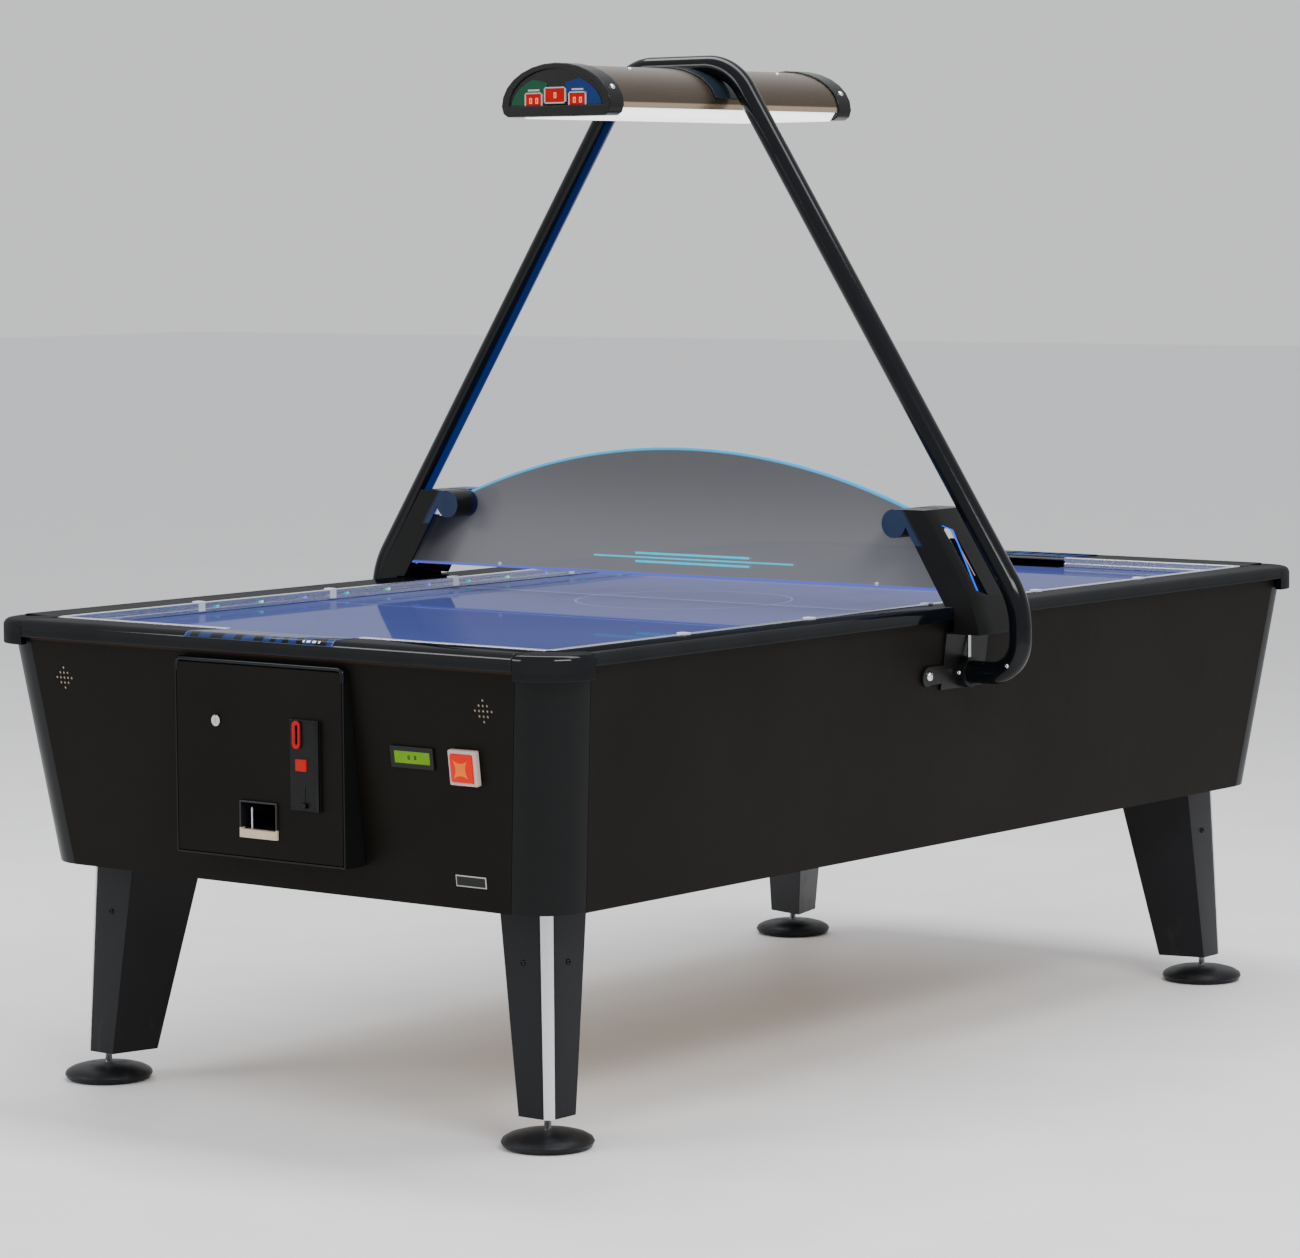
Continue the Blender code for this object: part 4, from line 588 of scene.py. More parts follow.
def bronze():
    paint = Paint("bronze", Metallic=0.85)
    lines = paint.noise(700.0, 3.0, (0.02, 1.0, 1.0))
    slow = paint.noise(5.0, 3.0)
    up = paint.axis(2)
    lip = 1 - paint.ease(up, CROWN_Z + 0.003, CROWN_Z + 0.006)
    # Painted highlight: the shell gets lighter towards its top, as light falls on it from above.
    top_highlight = paint.ease(up, CROWN_Z + 0.030, LAMP_HIGH.z)
    tone = paint.mix(top_highlight, (0.075, 0.055, 0.038, 1.0), (0.120, 0.072, 0.040, 1.0))
    tone = paint.mix(lines * 0.22 + slow * 0.1, tone, (0.20, 0.16, 0.13, 1.0))
    tone = paint.mix(lip, tone, (0.45, 0.34, 0.24, 1.0))
    rough = 0.24 + (lines - 0.5) * 0.14
    return paint.finish(lines, 0.06, 0.0003, Base_Color=tone, Roughness=rough)


# %% Display
def display_black():
    paint = Paint("screen", Specular_IOR_Level=0.2)
    fine = paint.noise(1500.0, 2.0)
    tone = paint.mix(fine, (0.0040, 0.0042, 0.0045, 1.0), (0.0065, 0.0065, 0.0068, 1.0))
    return paint.finish(fine, 0.06, 0.0003, Base_Color=tone, Roughness=0.24 + fine * 0.1)


# %% Puck cup
def cup_plastic():
    paint = Paint("brass", Specular_IOR_Level=0.4)
    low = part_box("return_cup_front")[0].z
    lip = (paint.axis(2) < low + 0.0165) * (paint.axis(0) < DOOR_X + 0.006)
    fine = paint.noise(1000.0, 3.0)
    slow = paint.noise(30.0, 3.0)
    cream = paint.mix(slow, (0.48, 0.36, 0.25, 1.0), (0.62, 0.50, 0.37, 1.0))
    tone = paint.mix(lip, (0.010, 0.010, 0.011, 1.0), cream)
    return paint.finish(fine, 0.1, 0.0004, Base_Color=tone, Roughness=0.34 + (fine - 0.5) * 0.1)


# %% Lit plastics
def lit(name, colour, strength, spread=0.25):
    """A glowing plastic, a little uneven as real light pipes are."""
    paint = Paint(name, Emission_Strength=strength, Roughness=0.3, Specular_IOR_Level=0.05)
    cloud = paint.noise(60.0, 2.0)
    tone = paint.mix(cloud, shade(colour, 1 - spread), shade(colour, 1.0))
    body = paint.mix(cloud, shade(colour, 0.25), shade(colour, 0.35))
    return paint.finish(cloud, 0.05, Base_Color=body, Emission_Color=tone)


FINISH["bronze"] = bronze()
FINISH["screen"] = display_black()
FINISH["brass"] = cup_plastic()
for name, colour, strength in (
    ("glow_green", (0.16, 0.36, 0.012), 0.75),
    ("glow_red", (0.62, 0.006, 0.004), 0.55),
    ("glow_digit", (1.0, 0.42, 0.26), 1.0),
    ("glow_cyan", (0.010, 0.62, 0.90), 1.1),
    ("glow_blue", (0.004, 0.13, 1.0), 1.4),
    ("glow_violet", (0.20, 0.22, 1.0), 1.2),
    ("glow_mint", (0.20, 1.0, 0.65), 1.2),
    ("glow_pink", (0.80, 0.36, 0.36), 0.8),
    ("glow_amber", (1.0, 0.20, 0.020), 0.8),
):
    FINISH[name] = lit(name, colour, strength)
print("lit plastics:", [name for name in FINISH if name.startswith("glow")])

# %% Printed colours and pale plastics
surface("print_green", (0.004, 0.060, 0.026), 0.30, **DIM)
surface("print_blue", (0.004, 0.022, 0.120), 0.30, **DIM)
surface("print_pale", (0.40, 0.40, 0.38), 0.35, spread=0.05, **DIM)
surface("clip_white", (0.60, 0.62, 0.70), 0.22, spread=0.06)
surface("stud_cloth", (0.300, 0.250, 0.190), 0.70, **DIM)
print("finishes in all:", len(FINISH))

# %% [markdown]
# ## Dress the packed nodes
# Each packed node first gets the finish of its slot. The ones that show up close are then stood in for by
# a copy whose doubled points are welded and whose sharp edges are rounded over by a Bevel modifier,
# because no real edge is a perfect knife and a small radius is what catches the light.

# %% Paint every node
for name, node in frame["nodes"].items():
    finish = FINISH["edge_strip" if name.startswith("leg_trim") else SLOT[name]]
    node.data.materials.clear()
    node.data.materials.append(finish)
print("painted", len(frame["nodes"]), "nodes")


# %% A piece on a body
WELD = 0.00001
FLAT = math.radians(0.5)


def piece(name, bm, finish, body="table", edge=0.0, angle=32.0, segments=2, stands_for=()):
    """Makes a mesh object in place, with rounded edges where a width is given, riding on a body."""
    mesh = bpy.data.meshes.new(name)
    bm.to_mesh(mesh)
    bm.free()
    if "custom_normal" in mesh.attributes:
        mesh.attributes.remove(mesh.attributes["custom_normal"])
    mesh.materials.clear()
    mesh.materials.append(FINISH[finish])
    mesh.shade_smooth()
    made = bpy.data.objects.new(name, mesh)
    scene.collection.objects.link(made)
    if edge:
        bevel = made.modifiers.new("round_edges", "BEVEL")
        bevel.width = edge
        bevel.segments = segments
        bevel.limit_method = "ANGLE"
        bevel.angle_limit = math.radians(angle)
        bevel.harden_normals = True
    else:
        mesh.set_sharp_from_angle(angle=math.radians(angle))
    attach(made, body)
    if stands_for:
        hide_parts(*stands_for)
    return made


def welded(node):
    """A bmesh of a packed node with its doubled points welded and its flat faces made whole."""
    bm = bmesh.new()
    bm.from_mesh(frame["nodes"][node].data)
    bmesh.ops.remove_doubles(bm, verts=bm.verts, dist=WELD)
    bmesh.ops.dissolve_limit(bm, angle_limit=FLAT, verts=bm.verts, edges=bm.edges)
    return bm


def rounded(node, edge, angle=32.0, segments=2):
    finish = "edge_strip" if node.startswith("leg_trim") else SLOT[node]
    piece(node + "_skin", welded(node), finish, BODY[node], edge, angle, segments, (node,))


# %% Round the edges that show
EDGE = {
    "corner_cap": 0.0012,
    "corner_post": 0.0010,
    "side_rail": 0.0015,
    "end_rail": 0.0015,
    "side_bumper": 0.0008,
    "end_bumper": 0.0008,
    "leg_front": 0.0015,
    "leg_rear": 0.0015,
    "foot": 0.0008,
    "arch_bracket": 0.0012,
    "coin_box": 0.0008,
    "coin_door": 0.0006,
    "coin_acceptor": 0.0005,
    "reject_button": 0.0008,
    "door_lock": 0.0004,
    "return_cup": 0.0008,
    "start": 0.0010,
    "credit_display": 0.0006,
    "lamp_diffuser": 0.0020,
}
rounded_nodes = 0
for node in sorted(SLOT):
    for start, width in EDGE.items():
        if node.startswith(start):
            rounded(node, width)
            rounded_nodes += 1
print("rounded", rounded_nodes, "nodes")

# %% [markdown]
# ## Shapes for new pieces
# Three small makers cover nearly every added detail: a flat outline pushed along a direction, a profile
# turned round an axis for screws and studs, and a block. Wires and pipes are curves with a round bevel.

# %% Push an outline
def pushed(outline, way):
    """A bmesh of a flat outline pushed along a vector."""
    bm = bmesh.new()
    base = [bm.verts.new(point) for point in outline]
    top = [bm.verts.new(Vector(point) + Vector(way)) for point in outline]
    count = len(outline)
    bm.faces.new(base[::-1])
    bm.faces.new(top)
    for i in range(count):
        j = (i + 1) % count
        bm.faces.new((base[i], base[j], top[j], top[i]))
    bmesh.ops.recalc_face_normals(bm, faces=bm.faces)
    return bm


# %% Turn a profile
def turned(bm, profile, place, normal, steps=20):
    """Adds a profile of (radius, height) turned round a normal, from its outer rim to its middle."""
    turn = Vector(normal).to_track_quat("Z", "Y").to_matrix()
    rings = []
    for radius, height in profile:
        count = steps if radius > 1e-6 else 1
        angles = [2 * math.pi * i / steps for i in range(count)]
        spots = [Vector((radius * math.cos(a), radius * math.sin(a), height)) for a in angles]
        rings.append([bm.verts.new(Vector(place) + turn @ spot) for spot in spots])
    for lower, upper in zip(rings, rings[1:]):
        for i in range(steps):
            j = (i + 1) % steps
            base = [lower[i % len(lower)], lower[j % len(lower)]]
            over = [upper[j % len(upper)], upper[i % len(upper)]]
            bm.faces.new(list(dict.fromkeys(base + over)))


# %% Blocks and pipes
def block(bm, low, high):
    """Adds a block between two corners."""
    size = Vector(high) - Vector(low)
    spot = Matrix.Translation((Vector(high) + Vector(low)) / 2) @ Matrix.Diagonal((*size, 1.0))
    bmesh.ops.create_cube(bm, size=1.0, matrix=spot)


def pipe(name, points, radius, finish, body="table", stands_for=(), sides=6):
    """A round pipe along a line of points, as a curve with a bevel."""
    curve = bpy.data.curves.new(name, "CURVE")
    curve.dimensions = "3D"
    curve.bevel_depth = radius
    curve.bevel_resolution = sides
    curve.use_fill_caps = True
    spline = curve.splines.new("POLY")
    spline.points.add(len(points) - 1)
    for point, place in zip(spline.points, points):
        point.co = (*place, 1.0)
    spline.use_smooth = True
    curve.materials.append(FINISH[finish])
    made = bpy.data.objects.new(name, curve)
    scene.collection.objects.link(made)
    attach(made, body)
    if stands_for:
        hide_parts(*stands_for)
    return made


# %% Screws
def screw_head(radius, height):
    """The profile of a dome head with a small recess, from under its rim to its middle."""
    rim = [(0.0, -height / 4), (radius, -height / 4), (radius, height * 0.25)]
    rim.append((radius * 0.92, height * 0.60))
    dome = [(radius * 0.70, height * 0.90), (radius * 0.42, height)]
    return rim + dome + [(radius * 0.36, height * 0.45), (0.0, height * 0.40)]


def screws(name, places, radius, height, finish="chrome", body="table"):
    """One piece with a screw head at each (place, normal)."""
    bm = bmesh.new()
    for place, normal in places:
        turned(bm, screw_head(radius, height), place, normal)
    bmesh.ops.recalc_face_normals(bm, faces=bm.faces)
    return piece(name, bm, finish, body, angle=50.0)


print("makers are ready")

# %% [markdown]
# ## The arch
# The arch is one steel tube, bent five times. The packed tube has few sides, so a smoother one stands in
# for it. Its corners are rounded by swinging a radius from one straight to the next.

# %% Arch tube
ARCH_END = side_face(ARCH_LOW_Z) + 0.0053


def bend(before, corner, after, radius, steps=16):
    """Points round a corner, from where the first straight ends to where the next one begins."""
    back, on = (before - corner).normalized(), (after - corner).normalized()
    half = back.angle(on) / 2
    centre = corner + (back + on).normalized() * (radius / math.sin(half))
    start = corner + back * radius / math.tan(half) - centre
    stop = corner + on * radius / math.tan(half) - centre
    return [centre + start.slerp(stop, i / steps).normalized() * radius for i in range(steps + 1)]


corners = [(0, 0, ARCH_TOP_Z), (0, ARCH_TOP_HALF, ARCH_TOP_Z), (0, ARCH_OUT, ARCH_KNEE_Z)]
corners = [Vector(corner) for corner in corners + [(0, ARCH_OUT, ARCH_LOW_Z), (0, ARCH_END, ARCH_LOW_Z)]]
half_arch = [corners[0]]
for number, radius in enumerate((0.100, 0.150, 0.060)):
    half_arch += bend(*corners[number : number + 3], radius)
half_arch.append(corners[-1])
whole_arch = [Vector((p.x, -p.y, p.z)) for p in reversed(half_arch[1:])] + half_arch[1:]
SKIN = 0.0001
pipe("arch_tube_skin", whole_arch, TUBE_RADIUS - SKIN, "tube_black", stands_for=("arch_tube",), sides=10)
arch_length = sum((a - b).length for a, b in zip(whole_arch, whole_arch[1:]))
print("arch length", round(arch_length, 2), "m")

# %% [markdown]
# ## The lamp
# The shell is a half oval bent from one sheet and pushed along the lamp. A dark band over its middle is a
# painted reflection of the arch tube. Both ends have a moulded cap with the scoreboard let into it.

# %% Lamp shell
LAMP_HALF = LAMP_HIGH.y
LAMP_RISE = LAMP_HIGH.z - CROWN_Z
SHELL = 0.0025


def oval(half, rise, start=0.0, stop=180.0, steps=48):
    """Points over the lamp's section as (y, z), angles in degrees from +Y."""
    angles = [math.radians(start + (stop - start) * i / steps) for i in range(steps + 1)]
    return [(half * math.cos(a), CROWN_Z + rise * math.sin(a)) for a in angles]


def along_lamp(points, x):
    return [(x, y, z) for y, z in points]


shell = [(LAMP_HALF, LAMP_LOW.z), *oval(LAMP_HALF, LAMP_RISE), (-LAMP_HALF, LAMP_LOW.z)]
inside = [(LAMP_HALF - SHELL, LAMP_LOW.z), *oval(LAMP_HALF - SHELL, LAMP_RISE - SHELL)]
inside.append((SHELL - LAMP_HALF, LAMP_LOW.z))
length = LAMP_HIGH.x - LAMP_LOW.x
bm = pushed(along_lamp(shell + inside[::-1], LAMP_LOW.x), (length, 0, 0))
piece("lamp_shell", bm, "bronze", stands_for=("lamp_body",))
print("lamp", round(length, 3), "m long,", round(2 * LAMP_HALF, 3), "m wide")

# %% Painted tube reflection and screws
REFLECTION_BACK, REFLECTION_FRONT = -0.052, 0.020
REFLECTION_THICK = 0.003
# A dark band over the shell on each side stands for the reflection of the arch tube: a painted
# reflection.
for side, sign in SIDES.items():
    angles = (12.0, 90.0)
    outer = oval(LAMP_HALF + REFLECTION_THICK, LAMP_RISE + REFLECTION_THICK, *angles, 20)
    inner = oval(LAMP_HALF + 0.0002, LAMP_RISE + 0.0002, *angles, 20)
    outline = [(REFLECTION_BACK, sign * y, z) for y, z in outer + inner[::-1]]
    bm = pushed(outline, (REFLECTION_FRONT - REFLECTION_BACK, 0, 0))
    piece(f"lamp_strap_{side}", bm, "strap_slate", edge=0.0008)

spots = []
for x in (-0.205, 0.235):
    for sign in SIDES.values():
        angle = math.radians(68)
        place = (x, sign * LAMP_HALF * math.cos(angle), CROWN_Z + LAMP_RISE * math.sin(angle))
        spots.append((place, (0, sign * math.cos(angle) * LAMP_RISE, math.sin(angle) * LAMP_HALF)))
screws("lamp_shell_screws", spots, 0.0042, 0.0022)
spots = []
for x in (-0.340, 0.340):
    for sign in SIDES.values():
        angle = math.radians(24)
        grow = 0.0035
        z = CROWN_Z + (LAMP_RISE + grow) * math.sin(angle)
        place = (x, sign * (LAMP_HALF + grow) * math.cos(angle), z)
        spots.append((place, (0, sign * math.cos(angle) * LAMP_RISE, math.sin(angle) * LAMP_HALF)))
screws("lamp_cap_screws", spots, 0.0055, 0.0030)
print("mirrored_tube and", 8, "screws on the lamp")

# %% [markdown]
# ## Scoreboards
# Each cap's face has a green field and a blue one with a black middle between them, and three windows
# with red numbers. The numbers are built from the seven bars of a display, which is how the real one
# makes them. Names and other lettering are left out, and short plain bars stand in their places.

# %% Scoreboard
FACE_HALF = 0.104
FACE_RISE = 0.060
FACE_FLOOR = CROWN_Z - 0.005
ZERO_BARS = (
    (0.0, 1.0, 1, 0),
    (0.5, 0.5, 0, 1),
    (0.5, -0.5, 0, 1),
    (0.0, -1.0, 1, 0),
    (-0.5, -0.5, 0, 1),
    (-0.5, 0.5, 0, 1),
)


def zero(bm, y, z, height, x):
    """Adds a zero as six of a display's seven bars, centred on (y, z)."""
    step = height / 2
    thick = height * 0.09
    for dy, dz, wide, tall in ZERO_BARS:
        middle = Vector((x, y + dy * step, z + dz * step))
        reach = Vector((0.0003, thick + wide * step * 0.42, thick + tall * step * 0.40))
        block(bm, middle - reach, middle + reach)


# %% Put a scoreboard on each cap
FACE_SINK = 0.004
PRINT_THICK = 0.0012
WINDOWS = (
    (0.051, CROWN_Z + 0.009, 0.020, 0.0145),
    (0.002, CROWN_Z + 0.018, 0.0245, 0.0145),
    (-0.049, CROWN_Z + 0.009, 0.020, 0.0145),
)


def scoreboard(end):
    """Fields, windows, numbers and label bars on one cap's face."""
    sign = ENDS[end]
    face = sign * (FACE_X - FACE_SINK)
    thin = sign * PRINT_THICK
    for colour, hand in (("green", 1), ("blue", -1)):
        angles = [math.radians(4 + 56 * i / 10) for i in range(11)]
        rim = [(hand * FACE_HALF * math.cos(a), FACE_FLOOR + FACE_RISE * math.sin(a)) for a in angles]
        field = rim + [(hand * 0.020, CROWN_Z + 0.040), (hand * 0.030, FACE_FLOOR)]
        bm = pushed([(face, y, z) for y, z in field], (thin, 0, 0))
        piece(f"score_field_{colour}_{end}", bm, f"print_{colour}", edge=0.0003)
    frames, panes, digits, bars = bmesh.new(), bmesh.new(), bmesh.new(), bmesh.new()
    rim = 0.0022
    for y, z, wide, tall in WINDOWS:
        bars_round = (
            ((-wide, tall - rim), (wide, tall)),
            ((-wide, -tall), (wide, rim - tall)),
            ((-wide, -tall), (rim - wide, tall)),
            ((wide - rim, -tall), (wide, tall)),
        )
        for low, high in bars_round:
            xs = sorted((face, face + 2.6 * thin))
            block(frames, (xs[0], y + low[0], z + low[1]), (xs[1], y + high[0], z + high[1]))
        xs = sorted((face, face + 1.5 * thin))
        block(panes, (xs[0], y - wide + rim, z - tall + rim), (xs[1], y + wide - rim, z + tall - rim))
        for place in (0.0,) if wide > 0.022 else (-0.007, 0.007):
            zero(digits, y + place, z, 0.0085, face + 1.7 * thin)
    for y, rise, wide in ((0.051, 0.0275, 0.013), (-0.049, 0.0275, 0.013), (0.002, -0.001, 0.010)):
        z = CROWN_Z + rise
        xs = sorted((face, face + 1.6 * thin))
        block(bars, (xs[0], y - wide, z - 0.0016), (xs[1], y + wide, z + 0.0016))
    piece(f"score_frames_{end}", frames, "print_pale")
    piece(f"score_panes_{end}", panes, "glow_red")
    piece(f"score_digits_{end}", digits, "glow_digit")
    piece(f"score_labels_{end}", bars, "print_pale")


for end in ENDS:
    scoreboard(end)
    rounded(f"lamp_cap_{end}", 0.0045, 40.0, 3)
print("scoreboards on both ends")

# %% [markdown]
# ## Rails: clips, lights and the printed goal plates
# Pale plastic clips hold the aluminium bumpers to the rails, and small lamps sit in the bumpers' groove.
# Over each goal a printed strip is stuck on the end rail. It follows the rail's round shoulder, so it is
# made as a thin skin a hair above that section.

# %% Clips and small lights
INNER_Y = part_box("side_bumper_near")[1].y * -1
OUTER_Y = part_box("side_bumper_near")[0].y * -1
BUMPER_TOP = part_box("side_bumper_near")[1].z
CLIP_PITCH = 0.349
clips = bmesh.new()
for sign in SIDES.values():
    for number in range(-2, 3):
        x = number * CLIP_PITCH - 0.011
        ys = sorted((sign * (INNER_Y - 0.002), sign * (OUTER_Y + 0.003)))
        block(clips, (x - 0.008, ys[0], FIELD_TOP + 0.002), (x + 0.008, ys[1], BUMPER_TOP + 0.0025))
piece("bumper_clips", clips, "clip_white", edge=0.0015)

LIGHT_PITCH = 0.116
LENS_SHAPE = [(0.0, -0.001), (0.0030, -0.001), (0.0028, 0.0012), (0.0016, 0.0022), (0.0, 0.0025)]
for offset, colour in enumerate(("cyan", "mint", "violet")):
    dots = bmesh.new()
    for sign in SIDES.values():
        for number in range(-3 + offset, 10, 3):
            x = (number - 3) * LIGHT_PITCH + 0.03
            place = (x, sign * (INNER_Y + 0.0015), FIELD_TOP + 0.0095)
            turned(dots, LENS_SHAPE, place, (0, -sign, 0), 10)
    bmesh.ops.recalc_face_normals(dots, faces=dots.faces)
    piece(f"field_lights_{colour}", dots, f"glow_{colour}")
print("clips and field lights are set")


# %% Printed goal plates
PLATE_HALF = 0.168
PLATE_SHIFT = -0.006
PLATE_LIFT = 0.0005


def goal_print():
    paint = Paint("goal_print", Specular_IOR_Level=0.12)
    along, across, up = abs(paint.axis(0)), paint.axis(1) - PLATE_SHIFT, paint.axis(2)
    inner = HALF_LENGTH - 0.066
    middle = (along > inner) * (up > RAIL_TOP - 0.0098) * (abs(across) < PLATE_HALF - 0.014)
    mark = (across * 26.0 + paint.noise(9.0, 1.0) * 2.4).do("FRACT")
    stroke = (mark < 0.55) * (along > inner + 0.008) * (up > RAIL_TOP - 0.0080)
    edge = abs(abs(across) - PLATE_HALF + 0.003) < 0.0015
    border = edge + (abs(up - RAIL_TOP + 0.0092) < 0.0006)
    # A row of small white dashes along the shoulder.
    dash = ((across * 78.0).do("FRACT") < 0.6) * (abs(across + 0.118) < 0.0192)
    dash = dash * (abs(up - RAIL_TOP + 0.0035) < 0.0015)
    blue = paint.mix(paint.noise(40.0, 3.0), (0.006, 0.020, 0.100, 1.0), (0.010, 0.034, 0.150, 1.0))
    tone = paint.mix(middle, blue, (0.004, 0.005, 0.008, 1.0))
    tone = paint.mix(middle * stroke, tone, (0.008, 0.028, 0.125, 1.0))
    tone = paint.mix(border.do("MINIMUM", 1.0), tone, (0.06, 0.10, 0.20, 1.0))
    tone = paint.mix(dash, tone, (0.85, 0.87, 0.92, 1.0))
    fine = paint.noise(1200.0, 2.0)
    return paint.finish(fine, 0.04, Base_Color=tone, Roughness=0.2 + fine * 0.08)


FINISH["goal_print"] = goal_print()


# %% Lay a goal plate on each end
def goal_plate(end):
    """A thin skin over the end rail, from low on its shoulder to near its inner edge."""
    sign = ENDS[end]
    radius = 0.013 + PLATE_LIFT
    middle = (HALF_LENGTH - 0.013, RAIL_TOP - 0.013)
    angles = [math.radians(18 + 72 * i / 10) for i in range(11)]
    section = [(middle[0] + radius * math.cos(a), middle[1] + radius * math.sin(a)) for a in angles]
    section.append((HALF_LENGTH - 0.078, RAIL_TOP - 0.0022 + PLATE_LIFT))
    bm = bmesh.new()
    rows = []
    for y in (PLATE_SHIFT - PLATE_HALF, PLATE_SHIFT + PLATE_HALF):
        slant = [(HALF_LENGTH - x) * 0.30 * (1 if y > 0 else -1) for x, _ in section]
        rows.append([bm.verts.new((sign * x, y - shift, z)) for (x, z), shift in zip(section, slant)])
    for i in range(len(section) - 1):
        bm.faces.new((rows[0][i], rows[0][i + 1], rows[1][i + 1], rows[1][i]))
    bmesh.ops.recalc_face_normals(bm, faces=bm.faces)
    if sum(face.normal.z for face in bm.faces) < 0:
        bmesh.ops.reverse_faces(bm, faces=bm.faces)
    made = piece(f"goal_plate_{end}", bm, "goal_print")
    skin = made.modifiers.new("film", "SOLIDIFY")
    skin.thickness = PLATE_LIFT * 0.8
    skin.offset = -1.0


for end in ENDS:
    goal_plate(end)
print("goal plates", round(2 * PLATE_HALF, 3), "m wide")

# %% [markdown]
# ## Barrier lines and screws
# Lit lines are engraved across the barrier's middle, and a clear screw at each end holds the sheet.

# %% Engraved lines
LINES_Y = -0.022
LINES_Z = 0.8700
for name, half, height, lift in (
    ("long", 0.2320, 0.0028, 0.0),
    ("upper", 0.1325, 0.0040, 0.0078),
    ("lower", 0.1325, 0.0040, -0.0078),
):
    bm = bmesh.new()
    low = (SHEET_LOW.x - 0.0003, LINES_Y - half, LINES_Z + lift - height / 2)
    block(bm, low, (SHEET_HIGH.x + 0.0003, LINES_Y + half, LINES_Z + lift + height / 2))
    piece(f"barrier_line_{name}", bm, "glow_cyan", edge=0.0002)
spots = []
for x in (SHEET_LOW.x, SHEET_HIGH.x):
    for sign in SIDES.values():
        spots.append(((x, sign * 0.440, SHEET_LOW.z + 0.006), (x, 0, 0)))
screws("barrier_screws", spots, 0.0045, 0.0030, "clip_white")
print("barrier lines and screws are set")

# %% [markdown]
# ## Hood lights and bracket bolts
# Each hood has a slot in its outer wall with a bright blue rim, where the light inside shows. Below it, a
# bolt through the lug and a chrome pin lock the end of the arch to the cabinet.

# %% Slot rims


def hood_y(z):
    """Distance out from the middle of a hood's outer wall at a height above the bend."""
    return ARCH_OUT - ARCH_SLOPE * (z - ARCH_KNEE_Z) - HOOD_CLEAR * math.hypot(1.0, ARCH_SLOPE)


for side, sign in SIDES.items():
    high, low, tilt = FIELD_TOP + 0.162, FIELD_TOP + 0.050, 0.010
    rim = [(0.036, high), (0.009, high - tilt), (0.009, low - tilt), (0.018, low - tilt / 2)]
    points = [Vector((sign * x, sign * (hood_y(max(z, 0.862)) - 0.001), z)) for x, z in rim]
    pipe(f"hood_rim_{side}", points, 0.0016, "glow_blue", sides=4)
    # A thin pink glowing line inside each slot, painted light from inside the hood.
    inner = [Vector((sign * 0.0075, sign * (hood_y(z) - 0.0062), z)) for z in (0.868, high - tilt)]
    pipe(f"hood_seam_{side}", inner, 0.0010, "glow_pink", sides=4)

# %% Bolts and pins
for side, sign in SIDES.items():
    out = Vector((0.0, sign, -SIDE_LEAN)).normalized()
    lug = Vector((sign * 0.108, sign * side_face(ARCH_LOW_Z), ARCH_LOW_Z)) + out * 0.0058
    screws(f"lug_bolt_{side}", [(lug, out)], 0.0085, 0.0060)
    pin_y = sign * (side_face(ARCH_LOW_Z) + 0.016)
    bm = bmesh.new()
    profile = [(0.0034, 0.0), (0.0034, 0.044), (0.0052, 0.0445), (0.0052, 0.0475), (0.0, 0.048)]
    turned(bm, [(0.0, 0.0), *profile], (0.0, pin_y, ARCH_LOW_Z + TUBE_RADIUS), (0, 0, 1), 16)
    bmesh.ops.recalc_face_normals(bm, faces=bm.faces)
    piece(f"arch_pin_{side}", bm, "chrome")
    grip = [((x, pin_y - sign * 0.004, ARCH_LOW_Z), (x, 0, 0)) for x in (-0.0265, 0.0265)]
    screws(f"socket_screws_{side}", grip, 0.0042, 0.0024)
    knee = [((-TUBE_RADIUS, sign * (ARCH_OUT - 0.016), ARCH_LOW_Z + 0.016), (-1, 0, 0))]
    screws(f"tube_plug_{side}", knee, 0.0040, 0.0018)
print("bolts and pins on both brackets")

# %% [markdown]
# ## The front end
# The coin door has a rolled edge along its top, a coin slot with a lit red ring, and a small lever for
# stuck coins. Beside it are the credit display, the start button and two groups of speaker holes with
# pale cloth studs behind them. A blank plate is fixed low on the panel.

# %% Door trim
half = (DOOR_HIGH.y - DOOR_LOW.y) / 2
roll_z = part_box("coin_box")[1].z + 0.001
roll_x = DOOR_X + 0.002
path = [Vector((roll_x, half + 0.002, roll_z - 0.022)), Vector((roll_x, half + 0.002, roll_z))]
path += [Vector((roll_x, -half - 0.002, roll_z)), Vector((roll_x, -half - 0.002, roll_z - 0.022))]
rolled = [path[0], *bend(*path[0:3], 0.010, 8), *bend(*path[1:4], 0.010, 8), path[-1]]
pipe("door_rolled_edge", rolled, 0.0042, "gloss_black", sides=5)

PLATE_LOW, PLATE_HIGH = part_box("coin_acceptor")
plate_x = DOOR_X - 0.0033
trim = bmesh.new()
block(trim, (plate_x - 0.0040, PLATE_LOW.y, PLATE_LOW.z), (plate_x, PLATE_LOW.y + 0.007, PLATE_HIGH.z))
block(trim, (plate_x - 0.0012, PLATE_LOW.y, PLATE_HIGH.z - 0.003), (plate_x, PLATE_HIGH.y, PLATE_HIGH.z))
piece("coin_plate_rim", trim, "gloss_black", "door", edge=0.0006)


# %% Coin slot ring and lever
SLOT_Y, SLOT_Z = -0.0905, 0.657


def stadium(half_wide, half_tall, steps=8):
    """Points round a tall slot with round ends, as (y, z)."""
    rise = half_tall - half_wide
    turns = [math.pi * i / steps for i in range(steps + 1)]
    top = [(half_wide * math.cos(a), rise + half_wide * math.sin(a)) for a in turns]
    return top + [(-y, -z) for y, z in top]


